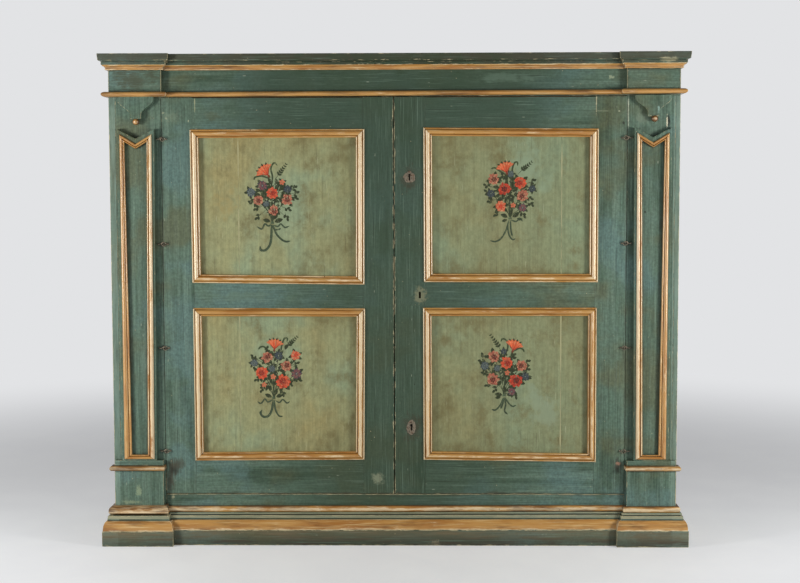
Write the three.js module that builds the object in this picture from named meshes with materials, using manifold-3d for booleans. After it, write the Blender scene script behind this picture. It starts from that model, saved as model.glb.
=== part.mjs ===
import * as THREE from 'three';
import { mergeVertices } from 'three/addons/utils/BufferGeometryUtils.js';
import Module from 'manifold-3d';

// A broad painted cupboard with two framed doors under a straight cornice.
// Millimetres, +Z up, the doors look towards -Y, and the origin lies on the floor
// under the middle of the whole cupboard.

const wasm = await Module();
wasm.setup();

// Doors and the opening that they close
const doorWidth = 918;
const doorHeight = 1586;
const meetingGap = 4;
const hingeGap = 2.5;
const doorPlay = 2.5;
const stopGap = 2;

// Carcass
const frontStileWidth = 207.5;
const frontFrameThickness = 30;
const bodyDepth = 528;
const sideThickness = 26;
const backThickness = 15;
const floorBoardThickness = 22;
const shelfThickness = 22;
const shelfClearance = 15;
const topBoardThickness = 25;
const dadoDepth = 8;
const stopRise = 56;
const stopOverlap = 14;
const stopThickness = 16;
const shelfHeightShares = [0.325, 0.665];

// Heights, from the floor up
const plinthRise = 62;
const bandRise = 38;
const lowerStepRise = 14;
const stepGrooveRise = 3.5;
const upperStepRise = 14.5;
const baseBeadRise = 21;
const bottomRailRise = 46;
const stringRise = 22;
const friezeRise = 81;
const corniceRise = 62;

// Projections of the mouldings beyond the sides of the body
const plinthProud = 39;
const bandProud = 36;
const bandTopProud = 23;
const lowerStepProud = 20;
const stepGrooveProud = 12;
const upperStepProud = 15;
const baseBeadProud = 10;
const baseBeadFoot = 4;
const stringProud = 19;
const stringFoot = 3;
const coveProud = 13;
const coveFoot = 2;
const coveRise = 19;
const lowFilletProud = 17;
const lowFilletRise = 12;
const crownGrooveProud = 14;
const crownGrooveRise = 4;
const crownProud = 30;
const crownFoot = 27;
const pedestalBeadProud = 18;
const pedestalBeadFoot = 8;
const pedestalInnerReach = 8;

// Pilasters, pedestals and the blocks that stand forward above and below them
const blockInset = 6;
const blockReach = 6.5;
const blockBreak = 24;
const pedestalMargin = 5.5;
const pedestalProud = 22;
const dieRise = 146;
const pedestalBeadRise = 21;
const pedestalCapRise = 20;
const plateClearance = 4;
const plateThickness = 22;
const plateTopGap = 127;
const plateNotch = 38;
const plateTaper = 8;
const stripInset = 10;
const stripWidth = 19;
const stripProud = 8;
const stripRound = 4;
const stripNotch = 48;
const stripTaper = 6;
const stripTopInset = 20;
const stripFoot = 5;
const fieldSink = 10;
const fieldDoorTaper = 14;
const fieldFarTaper = 12;
const dropWidth = 142;
const dropThickness = 20;
const dropShoulder = 10;
const dropNeckWidth = 54;
const dropNeckTop = 56;
const dropFootWidth = 44;
const dropRise = 82;
const dropBall = 16;

// Door joinery
const doorStileWidth = 122;
const topRailWidth = 131.5;
const middleRailWidth = 116;
const bottomRailWidth = 142;
const lowerPanelShare = 0.4991;
const panelThickness = 10;
const panelSink = 10;
const grooveDepth = 10;
const tenonLength = 40;
const tenonThickness = 9;
const tenonHaunch = 8;
const lapOverFrame = 8;
const panelMouldWidth = 34;
const panelMouldProud = 14;
const panelMouldBead = 7;

// Wire-eye hinges
const hingeCount = 4;
const lowestHinge = 174;
const highestHinge = 164;
const wireRadius = 2.4;
const eyePlay = 0.5;
const eyeFaceGap = 1.4;
const eyeBend = 6;
const eyeLegDepth = 18;

// Locks on the back of the right door, and bolts on the back of the left one. The lower
// keyhole's height is above the foot of the door, and the heights of the upper keyhole
// and of the plain slot are above the middle line of the middle rail.
const lockCaseWidth = 108;
const lockCaseHeight = 92;
const lockCaseDepth = 17;
const lockWall = 2.5;
const lockEdgeInset = 8;
const lockTailRoom = 22;
const lockBoltHeight = 14;
const lockBoltThickness = 6;
const lockBoltRise = 16;
const keyholeBow = 5;
const keyholeSlot = 6;
const keyholeDrop = 22;
const upperKeyholeInset = 60;
const upperKeyholeHeight = 480.8;
const lowerKeyholeInset = 66;
const lowerKeyholeHeight = 278.5;
const plainSlotInset = 100.5;
const plainSlotHeight = 4.3;
const plainSlotWidth = 8;
const plainSlotRise = 26;
const barWidth = 14;
const barThickness = 6;
const barLength = 170;
const barInset = 58;
const barKnobRadius = 6;
const barKnobLength = 14;

// Fits
const fitGap = 0.3;
const holeClearance = 0.5;
const boltClearance = 1;
const cutOverrun = 1;
const ledgeFall = 1.2;
const arris = 1.5;
const mergeReach = 0.001;

// Counts
const wireSides = 6;
const eyeSides = 12;
const legSteps = 6;
const arcSteps = 6;
const ballSides = 14;

// Places worked out from the sizes above
const doorThickness = frontFrameThickness - stopGap;
const shelfSetback = doorThickness + lockCaseDepth + shelfClearance;
const openingHalf = meetingGap / 2 + doorWidth + hingeGap;
const bodyHalf = openingHalf + frontStileWidth;
const baseStepTop = plinthRise + bandRise + lowerStepRise + stepGrooveRise + upperStepRise;
const baseTop = baseStepTop + baseBeadRise;
const openingBottom = baseTop + bottomRailRise;
const doorBottom = openingBottom + doorPlay;
const doorTop = doorBottom + doorHeight;
const openingTop = doorTop + doorPlay;
const stringTop = openingTop + stringRise;
const corniceBottom = stringTop + friezeRise;
const overallHeight = corniceBottom + corniceRise;
const topBoardBottom = overallHeight - topBoardThickness;
const blockOuter = bodyHalf - blockInset;
const blockInner = openingHalf - blockReach;
const blockMiddle = (blockOuter + blockInner) / 2;
const pedestalInner = openingHalf + pedestalMargin;
const pedestalTop = baseTop + dieRise + pedestalBeadRise + pedestalCapRise;
const plateTop = openingTop - plateTopGap;
const overallDepth = bodyDepth + blockBreak + blockInset + plinthProud;
const faceY = overallDepth / 2 - bodyDepth;
const backY = overallDepth / 2;
const doorBackY = faceY + doorThickness;
const frameBackY = faceY + frontFrameThickness;
const panelFaceY = faceY + panelSink;
const hingeX = openingHalf - hingeGap / 2;
const eyeRadius = 2 * wireRadius + eyePlay;
const eyeStandoff = eyeRadius + wireRadius + eyeFaceGap;
const eyeReach = 2 * eyeRadius + wireRadius + eyeBend;
const hingeY = faceY - eyeStandoff;
const plateHalf = blockMiddle - hingeX - eyeReach - wireRadius - plateClearance;

const cupboard = new THREE.Group();
cupboard.name = 'painted_cupboard';
const leftDoor = new THREE.Group();
const rightDoor = new THREE.Group();
cupboard.add(leftDoor, rightDoor);

// Finishes
const finish = (color, roughness, metalness) => ({ color, roughness, metalness });
const framePaint = finish(0x5a7a69, 0.55, 0);
const panelPaint = finish(0x919970, 0.5, 0);
const goldPaint = finish(0xc29656, 0.5, 0);
const rawWood = finish(0x8a6a48, 0.75, 0);
const iron = finish(0x2c2926, 0.6, 0.85);

function addMesh(parent, name, geometry, look) {
  const mesh = new THREE.Mesh(geometry, new THREE.MeshStandardMaterial({ ...look }));
  mesh.name = name;
  parent.add(mesh);
  return mesh;
}

// Solids: joining and cutting

function toSolid(geometry) {
  const bare = geometry.clone();
  bare.deleteAttribute('normal');
  bare.deleteAttribute('uv');
  const merged = mergeVertices(bare, mergeReach);
  return new wasm.Manifold(new wasm.Mesh({
    numProp: 3,
    vertProperties: new Float32Array(merged.attributes.position.array),
    triVerts: new Uint32Array(merged.index.array),
  }));
}

function toGeometry(solid) {
  const mesh = solid.getMesh();
  const geometry = new THREE.BufferGeometry();
  geometry.setAttribute('position', new THREE.BufferAttribute(new Float32Array(mesh.vertProperties), 3));
  geometry.setIndex(new THREE.BufferAttribute(new Uint32Array(mesh.triVerts), 1));
  geometry.computeVertexNormals();
  return geometry;
}

function cut(geometry, ...tools) {
  const solid = tools.reduce((body, tool) => body.subtract(toSolid(tool)), toSolid(geometry));
  return toGeometry(solid);
}

function join(...geometries) {
  const solids = geometries.map(toSolid);
  return toGeometry(solids.reduce((body, solid) => body.add(solid)));
}

// A box given by its two corners
function boxBetween(x0, x1, y0, y1, z0, z1) {
  const box = new THREE.BoxGeometry(x1 - x0, y1 - y0, z1 - z0);
  return box.translate((x0 + x1) / 2, (y0 + y1) / 2, (z0 + z1) / 2);
}

// An upright plate: an outline drawn in X and Z, from frontY back to backYOfPlate
function plateOfOutline(points, frontY, backYOfPlate) {
  const shape = new THREE.Shape(points.map(([x, z]) => new THREE.Vector2(x, z)));
  const plate = new THREE.ExtrudeGeometry(shape, { depth: backYOfPlate - frontY, bevelEnabled: false });
  return plate.rotateX(Math.PI / 2).translate(0, backYOfPlate, 0);
}

// A solid through rings of equal point counts, closed by a flat polygon at each end
function skinRings(rings) {
  const count = rings[0].length;
  const vertices = rings.flat().flatMap((p) => [p.x, p.y, p.z]);
  const triangles = [];
  for (let level = 0; level < rings.length - 1; level += 1) {
    for (let i = 0; i < count; i += 1) {
      const a = level * count + i;
      const b = level * count + (i + 1) % count;
      triangles.push(a, b, b + count, a, b + count, a + count);
    }
  }
  const flat = rings[0].map((p) => new THREE.Vector2(p.x, p.y));
  const last = (rings.length - 1) * count;
  for (const [a, b, c] of THREE.ShapeUtils.triangulateShape(flat, [])) {
    triangles.push(a, c, b, last + a, last + b, last + c);
  }
  const geometry = new THREE.BufferGeometry();
  geometry.setAttribute('position', new THREE.Float32BufferAttribute(vertices, 3));
  geometry.setIndex(triangles);
  return geometry;
}

// Moulding profiles: lists of [height, projection] from the bottom up

function roll(bottom, top, foot, proud) {
  const points = [];
  for (let i = 0; i <= arcSteps; i += 1) {
    const turn = Math.PI * i / arcSteps;
    const z = (bottom + top) / 2 - Math.cos(turn) * (top - bottom) / 2;
    points.push([z, foot + Math.sin(turn) * (proud - foot)]);
  }
  return points;
}

function quarterRound(bottom, top, proudBelow, proudAbove) {
  const points = [];
  for (let i = 0; i <= arcSteps; i += 1) {
    const turn = Math.PI / 2 * i / arcSteps;
    const z = bottom + Math.sin(turn) * (top - bottom);
    points.push([z, proudAbove + Math.cos(turn) * (proudBelow - proudAbove)]);
  }
  return points;
}

function cove(bottom, top, proudBelow, proudAbove) {
  const points = [];
  for (let i = 0; i <= arcSteps; i += 1) {
    const turn = Math.PI / 2 * i / arcSteps;
    const z = bottom + Math.sin(turn) * (top - bottom);
    points.push([z, proudBelow + (1 - Math.cos(turn)) * (proudAbove - proudBelow)]);
  }
  return points;
}

// A moulding that runs round the two sides and the front and steps forward over the blocks
function mouldingRound(profile, innerEdge) {
  const rings = profile.map(([z, proud]) => {
    const reach = blockInset + proud;
    const out = blockOuter + reach;
    const inn = innerEdge - reach;
    const blockY = faceY - blockBreak - reach;
    const middleY = faceY - reach;
    const plan = [
      [-out, backY], [-out, blockY], [-inn, blockY], [-inn, middleY],
      [inn, middleY], [inn, blockY], [out, blockY], [out, backY],
      [bodyHalf, backY], [bodyHalf, faceY], [-bodyHalf, faceY], [-bodyHalf, backY],
    ];
    return plan.map(([x, y]) => new THREE.Vector3(x, y, z));
  });
  return skinRings(rings);
}

function addCornice() {
  const coveTop = corniceBottom + coveRise;
  const lowFilletTop = coveTop + lowFilletRise;
  const crownBottom = lowFilletTop + crownGrooveRise;
  const profile = [
    ...cove(corniceBottom, coveTop, coveFoot, coveProud),
    [coveTop + ledgeFall, lowFilletProud], [lowFilletTop, lowFilletProud],
    [lowFilletTop + ledgeFall, crownGrooveProud], [crownBottom, crownGrooveProud],
    [crownBottom + ledgeFall, crownFoot], [overallHeight - arris, crownProud],
    [overallHeight, crownProud - arris],
  ];
  addMesh(cupboard, 'cornice', mouldingRound(profile, blockInner), framePaint);
}

function addStringMoulding() {
  const profile = roll(openingTop, stringTop, stringFoot, stringProud);
  addMesh(cupboard, 'string_moulding', mouldingRound(profile, blockInner), goldPaint);
}

function addBaseMoulding() {
  const bandTop = plinthRise + bandRise;
  const lowerStepTop = bandTop + lowerStepRise;
  const grooveTop = lowerStepTop + stepGrooveRise;
  const profile = [
    [0, plinthProud], [plinthRise - ledgeFall, plinthProud],
    ...quarterRound(plinthRise, bandTop - ledgeFall, bandProud, bandTopProud),
    [bandTop, lowerStepProud], [lowerStepTop - ledgeFall, lowerStepProud],
    [lowerStepTop, stepGrooveProud], [grooveTop, stepGrooveProud],
    [grooveTop + ledgeFall, upperStepProud], [baseStepTop - ledgeFall, upperStepProud],
    ...roll(baseStepTop, baseTop, baseBeadFoot, baseBeadProud),
  ];
  addMesh(cupboard, 'base_moulding', mouldingRound(profile, pedestalInner), framePaint);
}

// Carcass boards

function shelfHeights() {
  return shelfHeightShares.map((share) => openingBottom + share * (openingTop - openingBottom));
}

function addSideBoard(name, side) {
  const inner = side * (bodyHalf - sideThickness);
  const xs = [inner, side * bodyHalf].sort((a, b) => a - b);
  const board = boxBetween(xs[0], xs[1], frameBackY, backY - backThickness, 0, topBoardBottom);
  const groove = (frontY, bottom, thickness) => {
    const deep = [inner - side * cutOverrun, inner + side * dadoDepth].sort((a, b) => a - b);
    const grooveBack = backY - backThickness + cutOverrun;
    return boxBetween(deep[0], deep[1], frontY, grooveBack, bottom, bottom + thickness + fitGap);
  };
  const shelves = shelfHeights().map((z) => groove(faceY + shelfSetback - fitGap, z, shelfThickness));
  const floorGroove = groove(frameBackY - cutOverrun, floorBoardBottom(), floorBoardThickness);
  addMesh(cupboard, name, cut(board, floorGroove, ...shelves), rawWood);
}

// The floor board stands a little above the rail before it, so that it stops the doors
function floorBoardBottom() {
  return openingBottom + stopOverlap - floorBoardThickness;
}

function addFloorBoard() {
  const half = bodyHalf - sideThickness + dadoDepth - fitGap;
  const bottom = floorBoardBottom();
  const top = bottom + floorBoardThickness;
  const board = boxBetween(-half, half, frameBackY, backY - backThickness, bottom, top);
  addMesh(cupboard, 'bottom_board', cut(board, barHole(bottom, top)), rawWood);
}

function addShelf(name, bottom) {
  const half = bodyHalf - sideThickness + dadoDepth - fitGap;
  const shelf = boxBetween(
    -half, half, faceY + shelfSetback, backY - backThickness, bottom, bottom + shelfThickness,
  );
  addMesh(cupboard, name, shelf, rawWood);
}

function addTopBoard() {
  const board = boxBetween(-bodyHalf, bodyHalf, faceY, backY, topBoardBottom, overallHeight);
  addMesh(cupboard, 'top_board', board, rawWood);
}

function addBackPanel() {
  const panel = boxBetween(-bodyHalf, bodyHalf, backY - backThickness, backY, 0, topBoardBottom);
  addMesh(cupboard, 'back_panel', panel, rawWood);
}

// The hole that an end of a door bolt slides into
function barHole(bottom, top) {
  const middle = -(meetingGap / 2 + barInset);
  const half = barWidth / 2 + boltClearance;
  const depth = doorBackY + barThickness + boltClearance + fitGap;
  return boxBetween(
    middle - half, middle + half, frameBackY - cutOverrun, depth, bottom - cutOverrun, top + cutOverrun,
  );
}

function addFriezeBoard() {
  const board = boxBetween(-bodyHalf, bodyHalf, faceY, frameBackY, openingTop, topBoardBottom);
  const stopHalf = bodyHalf - sideThickness - fitGap;
  const stopBottom = openingTop - stopOverlap;
  const stopTop = stopBottom + stopRise;
  const stopBack = frameBackY + stopThickness;
  const stop = boxBetween(-stopHalf, stopHalf, frameBackY - cutOverrun, stopBack, stopBottom, stopTop);
  const step = boxBetween(
    -stopHalf - cutOverrun, stopHalf + cutOverrun, faceY, frameBackY, stopBottom - cutOverrun, openingTop,
  );
  const blocks = [-1, 1].map((side) => {
    const xs = [side * blockInner, side * blockOuter].sort((a, b) => a - b);
    return boxBetween(xs[0], xs[1], faceY - blockBreak, faceY + cutOverrun, stringTop, corniceBottom);
  });
  const whole = join(board, cut(stop, step), ...blocks);
  addMesh(cupboard, 'frieze_board', cut(whole, barHole(stopBottom, openingTop)), framePaint);
}

// Tenons stand out from both ends of a rail, and the stiles are mortised for them
function tenonBox(x0, x1, middleY, bottom, top, clearance) {
  const half = tenonThickness / 2 + clearance;
  const shoulder = grooveDepth + tenonHaunch - clearance;
  return boxBetween(x0, x1, middleY - half, middleY + half, bottom + shoulder, top - shoulder);
}

function addBottomRail() {
  const middleY = (faceY + frameBackY) / 2;
  const rail = boxBetween(-openingHalf, openingHalf, faceY, frameBackY, 0, openingBottom);
  const reach = openingHalf + tenonLength;
  const tenon = tenonBox(-reach, reach, middleY, 0, openingBottom, 0);
  addMesh(cupboard, 'bottom_rail', join(rail, tenon), framePaint);
}

function legHole(x, frontY) {
  const depth = eyeLegDepth + cutOverrun;
  const drill = new THREE.CylinderGeometry(
    wireRadius + holeClearance, wireRadius + holeClearance, depth + cutOverrun, eyeSides,
  );
  return drill.translate(x, frontY + (depth - cutOverrun) / 2, 0);
}

function hingeHeights() {
  const spacing = (doorHeight - lowestHinge - highestHinge) / (hingeCount - 1);
  return Array.from({ length: hingeCount }, (_, i) => doorBottom + lowestHinge + i * spacing);
}

function addFrontStile(name, side) {
  const xs = [side * openingHalf, side * bodyHalf].sort((a, b) => a - b);
  const stile = boxBetween(xs[0], xs[1], faceY, frameBackY, 0, openingTop);
  const middleY = (faceY + frameBackY) / 2;
  const mortiseEnds = [
    side * (openingHalf - cutOverrun), side * (openingHalf + tenonLength + holeClearance),
  ].sort((a, b) => a - b);
  const mortise = tenonBox(mortiseEnds[0], mortiseEnds[1], middleY, 0, openingBottom, fitGap);
  const holes = hingeHeights().map((z) => legHole(side * (hingeX + eyeReach), faceY).translate(0, 0, z));
  addMesh(cupboard, name, cut(stile, mortise, ...holes), framePaint);
}

// Pilasters: a plate with a notched head, and a raised strip round a sunk field. They narrow
// downwards, by one amount on the side of the doors and by another on the far side.

function notchedOutline(half, bottom, top, notch, side, doorTaper, farTaper) {
  const [leftTaper, rightTaper] = side > 0 ? [doorTaper, farTaper] : [farTaper, doorTaper];
  return [
    [leftTaper - half, bottom], [half - rightTaper, bottom], [half, top], [0, top - notch], [-half, top],
  ];
}

function pilasterStrip(outer, inner, frontY) {
  const shape = new THREE.Shape(outer.map(([x, z]) => new THREE.Vector2(x, z)));
  shape.holes.push(new THREE.Path(inner.map(([x, z]) => new THREE.Vector2(x, z))));
  const strip = new THREE.ExtrudeGeometry(shape, {
    depth: stripProud - stripRound + cutOverrun,
    bevelThickness: stripRound,
    bevelSize: stripRound,
    bevelOffset: -stripRound,
    bevelSegments: arcSteps / 2,
  });
  const sunk = strip.rotateX(Math.PI / 2).translate(0, frontY + cutOverrun, 0);
  return cut(sunk, boxBetween(
    -plateHalf, plateHalf, frontY, frontY + plateThickness, 0, overallHeight,
  ));
}

function addPilaster(name, side) {
  const frontY = faceY - plateThickness;
  const plateOutline = notchedOutline(plateHalf, pedestalTop, plateTop, plateNotch, side, plateTaper, 0);
  const plate = plateOfOutline(plateOutline, frontY, faceY);
  const outerHalf = plateHalf - stripInset;
  const innerHalf = outerHalf - stripWidth;
  const bottom = pedestalTop + stripFoot;
  const top = plateTop - stripTopInset;
  const outer = notchedOutline(outerHalf, bottom, top, stripNotch, side, stripTaper, 0);
  const innerNotch = stripNotch * innerHalf / outerHalf;
  const innerTop = top - stripWidth - (stripNotch - innerNotch);
  const inner = notchedOutline(
    innerHalf, bottom + stripWidth, innerTop, innerNotch, side, fieldDoorTaper, fieldFarTaper,
  );
  const field = plateOfOutline(inner, frontY - cutOverrun, frontY + fieldSink);
  const pilaster = join(cut(plate, field), pilasterStrip(outer, inner, frontY));
  addMesh(cupboard, name, pilaster.translate(side * blockMiddle, 0, 0), framePaint);
}

// The hanging drop: an ogee tongue that ends in a small ball
function addDrop(name, side) {
  const half = dropWidth / 2;
  const neck = dropNeckWidth / 2;
  const shoulderZ = openingTop - dropShoulder;
  const neckZ = openingTop - dropNeckTop;
  const footZ = openingTop - dropRise;
  const curve = new THREE.CubicBezierCurve(
    new THREE.Vector2(half, shoulderZ), new THREE.Vector2(half, neckZ),
    new THREE.Vector2(neck, shoulderZ), new THREE.Vector2(neck, neckZ),
  );
  const rightSide = curve.getPoints(arcSteps * 2).map((p) => [p.x, p.y]);
  const outline = [[half, openingTop], ...rightSide, [dropFootWidth / 2, footZ]];
  const mirrored = outline.map(([x, z]) => [-x, z]).reverse();
  const tongue = plateOfOutline([...outline, ...mirrored].reverse(), faceY - dropThickness, faceY);
  const ball = new THREE.SphereGeometry(dropBall, ballSides, ballSides / 2).rotateX(Math.PI / 2);
  ball.translate(0, faceY - dropBall, footZ - dropBall / 2);
  addMesh(cupboard, name, join(tongue, ball).translate(side * blockMiddle, 0, 0), framePaint);
}

function addPedestal(name, side) {
  const dieTop = baseTop + dieRise;
  const beadTop = dieTop + pedestalBeadRise;
  const profile = [
    [baseTop, 0], [dieTop, 0],
    ...roll(dieTop + ledgeFall, beadTop, pedestalBeadFoot, pedestalBeadProud),
    [beadTop + ledgeFall, 0], [pedestalTop, 0],
  ];
  const innerShare = pedestalInnerReach / pedestalBeadProud;
  const rings = profile.map(([z, proud]) => {
    const y = faceY - pedestalProud - proud;
    const x0 = side * (pedestalInner - proud * innerShare);
    const x1 = side * (blockOuter + proud);
    const ring = [[x0, faceY], [x0, y], [x1, y], [x1, faceY]];
    const turned = side > 0 ? ring : ring.reverse();
    return turned.map(([x, ringY]) => new THREE.Vector3(x, ringY, z));
  });
  addMesh(cupboard, name, skinRings(rings), framePaint);
}

// Doors. Each is drawn for the right-hand side and mirrored by side = -1.

// Heights of the edges of the three rails of a door
function railEdges() {
  const lowerPanelBottom = doorBottom + bottomRailWidth;
  const upperPanelTop = doorTop - topRailWidth;
  const clearHeight = upperPanelTop - lowerPanelBottom - middleRailWidth;
  const middleBottom = lowerPanelBottom + clearHeight * lowerPanelShare;
  return {
    bottom: [doorBottom, lowerPanelBottom],
    middle: [middleBottom, middleBottom + middleRailWidth],
    top: [upperPanelTop, doorTop],
  };
}

const doorInner = meetingGap / 2;
const doorOuter = doorInner + doorWidth;
const panelInner = doorInner + doorStileWidth;
const panelOuter = doorOuter - doorStileWidth;

// Heights of the two keyholes and of the plain slot
function keyholeHeights() {
  const middle = railEdges().middle;
  const middleLine = (middle[0] + middle[1]) / 2;
  return {
    upper: middleLine + upperKeyholeHeight,
    lower: doorBottom + lowerKeyholeHeight,
    plain: middleLine + plainSlotHeight,
  };
}

function sideBox(side, x0, x1, y0, y1, z0, z1) {
  const xs = [side * x0, side * x1].sort((a, b) => a - b);
  return boxBetween(xs[0], xs[1], y0, y1, z0, z1);
}

// The groove that the panels sit in, as deep as grooveDepth all round both panels
function panelGroove(side, z0, z1) {
  return sideBox(
    side, panelInner - grooveDepth, panelOuter + grooveDepth,
    panelFaceY, panelFaceY + panelThickness + fitGap, z0 - grooveDepth, z1 + grooveDepth,
  );
}

function doorMortises(side) {
  const middleY = (faceY + doorBackY) / 2;
  const reach = tenonLength + holeClearance;
  return Object.values(railEdges()).flatMap(([z0, z1]) => {
    const ends = [side * (panelInner - reach), side * (panelOuter + reach)].sort((a, b) => a - b);
    return tenonBox(ends[0], ends[1], middleY, z0, z1, fitGap);
  });
}

function panelGrooves(side) {
  const rails = railEdges();
  return [
    panelGroove(side, rails.bottom[1], rails.middle[0]), panelGroove(side, rails.middle[1], rails.top[0]),
  ];
}

function keyhole(x, z) {
  const bow = new THREE.CylinderGeometry(keyholeBow, keyholeBow, doorThickness + 2 * cutOverrun, eyeSides);
  bow.translate(x, faceY + doorThickness / 2, z);
  const slot = boxBetween(
    x - keyholeSlot / 2, x + keyholeSlot / 2, faceY - cutOverrun, doorBackY + cutOverrun, z - keyholeDrop, z,
  );
  return join(bow, slot);
}

// The plain slot goes through the stile, and through the tenon of the middle rail inside it
function plainSlot() {
  const x = doorInner + plainSlotInset;
  const z = keyholeHeights().plain;
  const half = plainSlotWidth / 2;
  const rise = plainSlotRise / 2;
  return boxBetween(x - half, x + half, faceY - cutOverrun, doorBackY + cutOverrun, z - rise, z + rise);
}

function addDoorStiles(door, prefix, side) {
  const cuts = [...doorMortises(side), ...panelGrooves(side)];
  const meeting = sideBox(side, doorInner, panelInner, faceY, doorBackY, doorBottom, doorTop);
  const holes = side > 0 ? [
    keyhole(doorInner + upperKeyholeInset, keyholeHeights().upper),
    keyhole(doorInner + lowerKeyholeInset, keyholeHeights().lower),
    plainSlot(),
  ] : [];
  addMesh(door, `${prefix}_meeting_stile`, cut(meeting, ...cuts, ...holes), framePaint);
  const hinge = sideBox(side, panelOuter, doorOuter, faceY, doorBackY, doorBottom, doorTop);
  const drills = hingeHeights().map((z) => legHole(side * (hingeX - eyeReach), faceY).translate(0, 0, z));
  addMesh(door, `${prefix}_hinge_stile`, cut(hinge, ...cuts, ...drills), framePaint);
}

function addDoorRails(door, prefix, side) {
  const middleY = (faceY + doorBackY) / 2;
  for (const [place, [z0, z1]] of Object.entries(railEdges())) {
    const rail = sideBox(side, panelInner, panelOuter, faceY, doorBackY, z0, z1);
    const grooved = cut(rail, ...panelGrooves(side));
    const ends = [side * (panelInner - tenonLength), side * (panelOuter + tenonLength)].sort((a, b) => a - b);
    const tenon = tenonBox(ends[0], ends[1], middleY, z0, z1, 0);
    const whole = join(grooved, tenon);
    const slotted = side > 0 && place === 'middle' ? cut(whole, plainSlot()) : whole;
    addMesh(door, `${prefix}_${place}_rail`, slotted, framePaint);
  }
}

// Panels stay a little clear of the bottom of their grooves, so that the wood can move
function addDoorPanel(door, name, side, z0, z1) {
  const reach = grooveDepth - fitGap;
  const panelBackY = panelFaceY + panelThickness;
  const panel = sideBox(
    side, panelInner - reach, panelOuter + reach, panelFaceY, panelBackY, z0 - reach, z1 + reach,
  );
  addMesh(door, name, panel, panelPaint);
}

// The profile of the moulding round a panel: [distance in from its outer edge, projection]
function panelMouldProfile() {
  const bead = panelMouldBead;
  const inner = panelMouldWidth - bead;
  const arc = (from, to, foot, proud, steps) => Array.from({ length: steps + 1 }, (_, i) => {
    const turn = Math.PI * i / steps;
    return [(from + to) / 2 - Math.cos(turn) * (to - from) / 2, foot + Math.sin(turn) * (proud - foot)];
  });
  return [
    [0, 0], ...arc(arris / 2, bead, bead / 2, bead, arcSteps / 2),
    ...arc(bead + arris / 2, inner - arris / 2, bead / 2, panelMouldProud, arcSteps),
    ...arc(inner, panelMouldWidth, 0, bead, arcSteps / 2),
    [panelMouldWidth, -panelSink], [lapOverFrame + fitGap, -panelSink], [lapOverFrame + fitGap, 0],
  ];
}

function addPanelMoulding(door, name, side, z0, z1) {
  const xOut = [side * (panelInner - lapOverFrame), side * (panelOuter + lapOverFrame)].sort((a, b) => a - b);
  const zOut = [z0 - lapOverFrame, z1 + lapOverFrame];
  const profile = panelMouldProfile();
  const vertices = [];
  for (const [corner, signX, signZ] of [[[0, 0], 1, 1], [[1, 0], -1, 1], [[1, 1], -1, -1], [[0, 1], 1, -1]]) {
    for (const [inset, proud] of profile) {
      vertices.push(xOut[corner[0]] + signX * inset, faceY - proud, zOut[corner[1]] + signZ * inset);
    }
  }
  const count = profile.length;
  const triangles = [];
  for (let c = 0; c < 4; c += 1) {
    for (let i = 0; i < count; i += 1) {
      const a = c * count + i;
      const b = c * count + (i + 1) % count;
      const a2 = ((c + 1) % 4) * count + i;
      const b2 = ((c + 1) % 4) * count + (i + 1) % count;
      triangles.push(a, a2, b2, a, b2, b);
    }
  }
  const geometry = new THREE.BufferGeometry();
  geometry.setAttribute('position', new THREE.Float32BufferAttribute(vertices, 3));
  geometry.setIndex(triangles);
  addMesh(door, name, geometry, goldPaint);
}

function addDoor(door, prefix, side) {
  const rails = railEdges();
  addDoorStiles(door, prefix, side);
  addDoorRails(door, prefix, side);
  for (const [place, z0, z1] of [
    ['lower', rails.bottom[1], rails.middle[0]], ['upper', rails.middle[1], rails.top[0]],
  ]) {
    addDoorPanel(door, `${prefix}_${place}_panel`, side, z0, z1);
    addPanelMoulding(door, `${prefix}_${place}_moulding`, side, z0, z1);
  }
}

// Wire eyes: a ring and a bent leg that is driven into the wood

function wireEye(ring, startX, turnX) {
  const toward = Math.sign(turnX);
  const bendStart = new THREE.Vector3(turnX - toward * eyeBend, 0, 0);
  const bendEnd = new THREE.Vector3(turnX, eyeBend, 0);
  const path = new THREE.CurvePath();
  path.add(new THREE.LineCurve3(new THREE.Vector3(startX, 0, 0), bendStart));
  path.add(new THREE.QuadraticBezierCurve3(bendStart, new THREE.Vector3(turnX, 0, 0), bendEnd));
  path.add(new THREE.LineCurve3(bendEnd, new THREE.Vector3(turnX, eyeStandoff + eyeLegDepth, 0)));
  const section = new THREE.Shape().absarc(0, 0, wireRadius, 0, 2 * Math.PI);
  const leg = new THREE.ExtrudeGeometry(section, {
    steps: legSteps, curveSegments: wireSides / 2, bevelEnabled: false, extrudePath: path,
  });
  return join(ring, leg);
}

function addEyes() {
  for (const [door, word, side] of [[leftDoor, 'left', -1], [rightDoor, 'right', 1]]) {
    hingeHeights().forEach((z, i) => {
      const flatRing = new THREE.TorusGeometry(eyeRadius, wireRadius, wireSides, eyeSides);
      const caseEye = wireEye(flatRing, side * eyeRadius, side * eyeReach);
      addMesh(cupboard, `${word}_case_eye_${i + 1}`, caseEye, iron).position.set(side * hingeX, hingeY, z);
      const uprightRing = new THREE.TorusGeometry(eyeRadius, wireRadius, wireSides, eyeSides);
      uprightRing.rotateX(Math.PI / 2).translate(-side * eyeRadius, 0, 0);
      const doorEye = wireEye(uprightRing, -side * 2 * eyeRadius, -side * eyeReach);
      addMesh(door, `${word}_door_eye_${i + 1}`, doorEye, iron).position.set(side * hingeX, hingeY, z);
    });
  }
}

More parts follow.
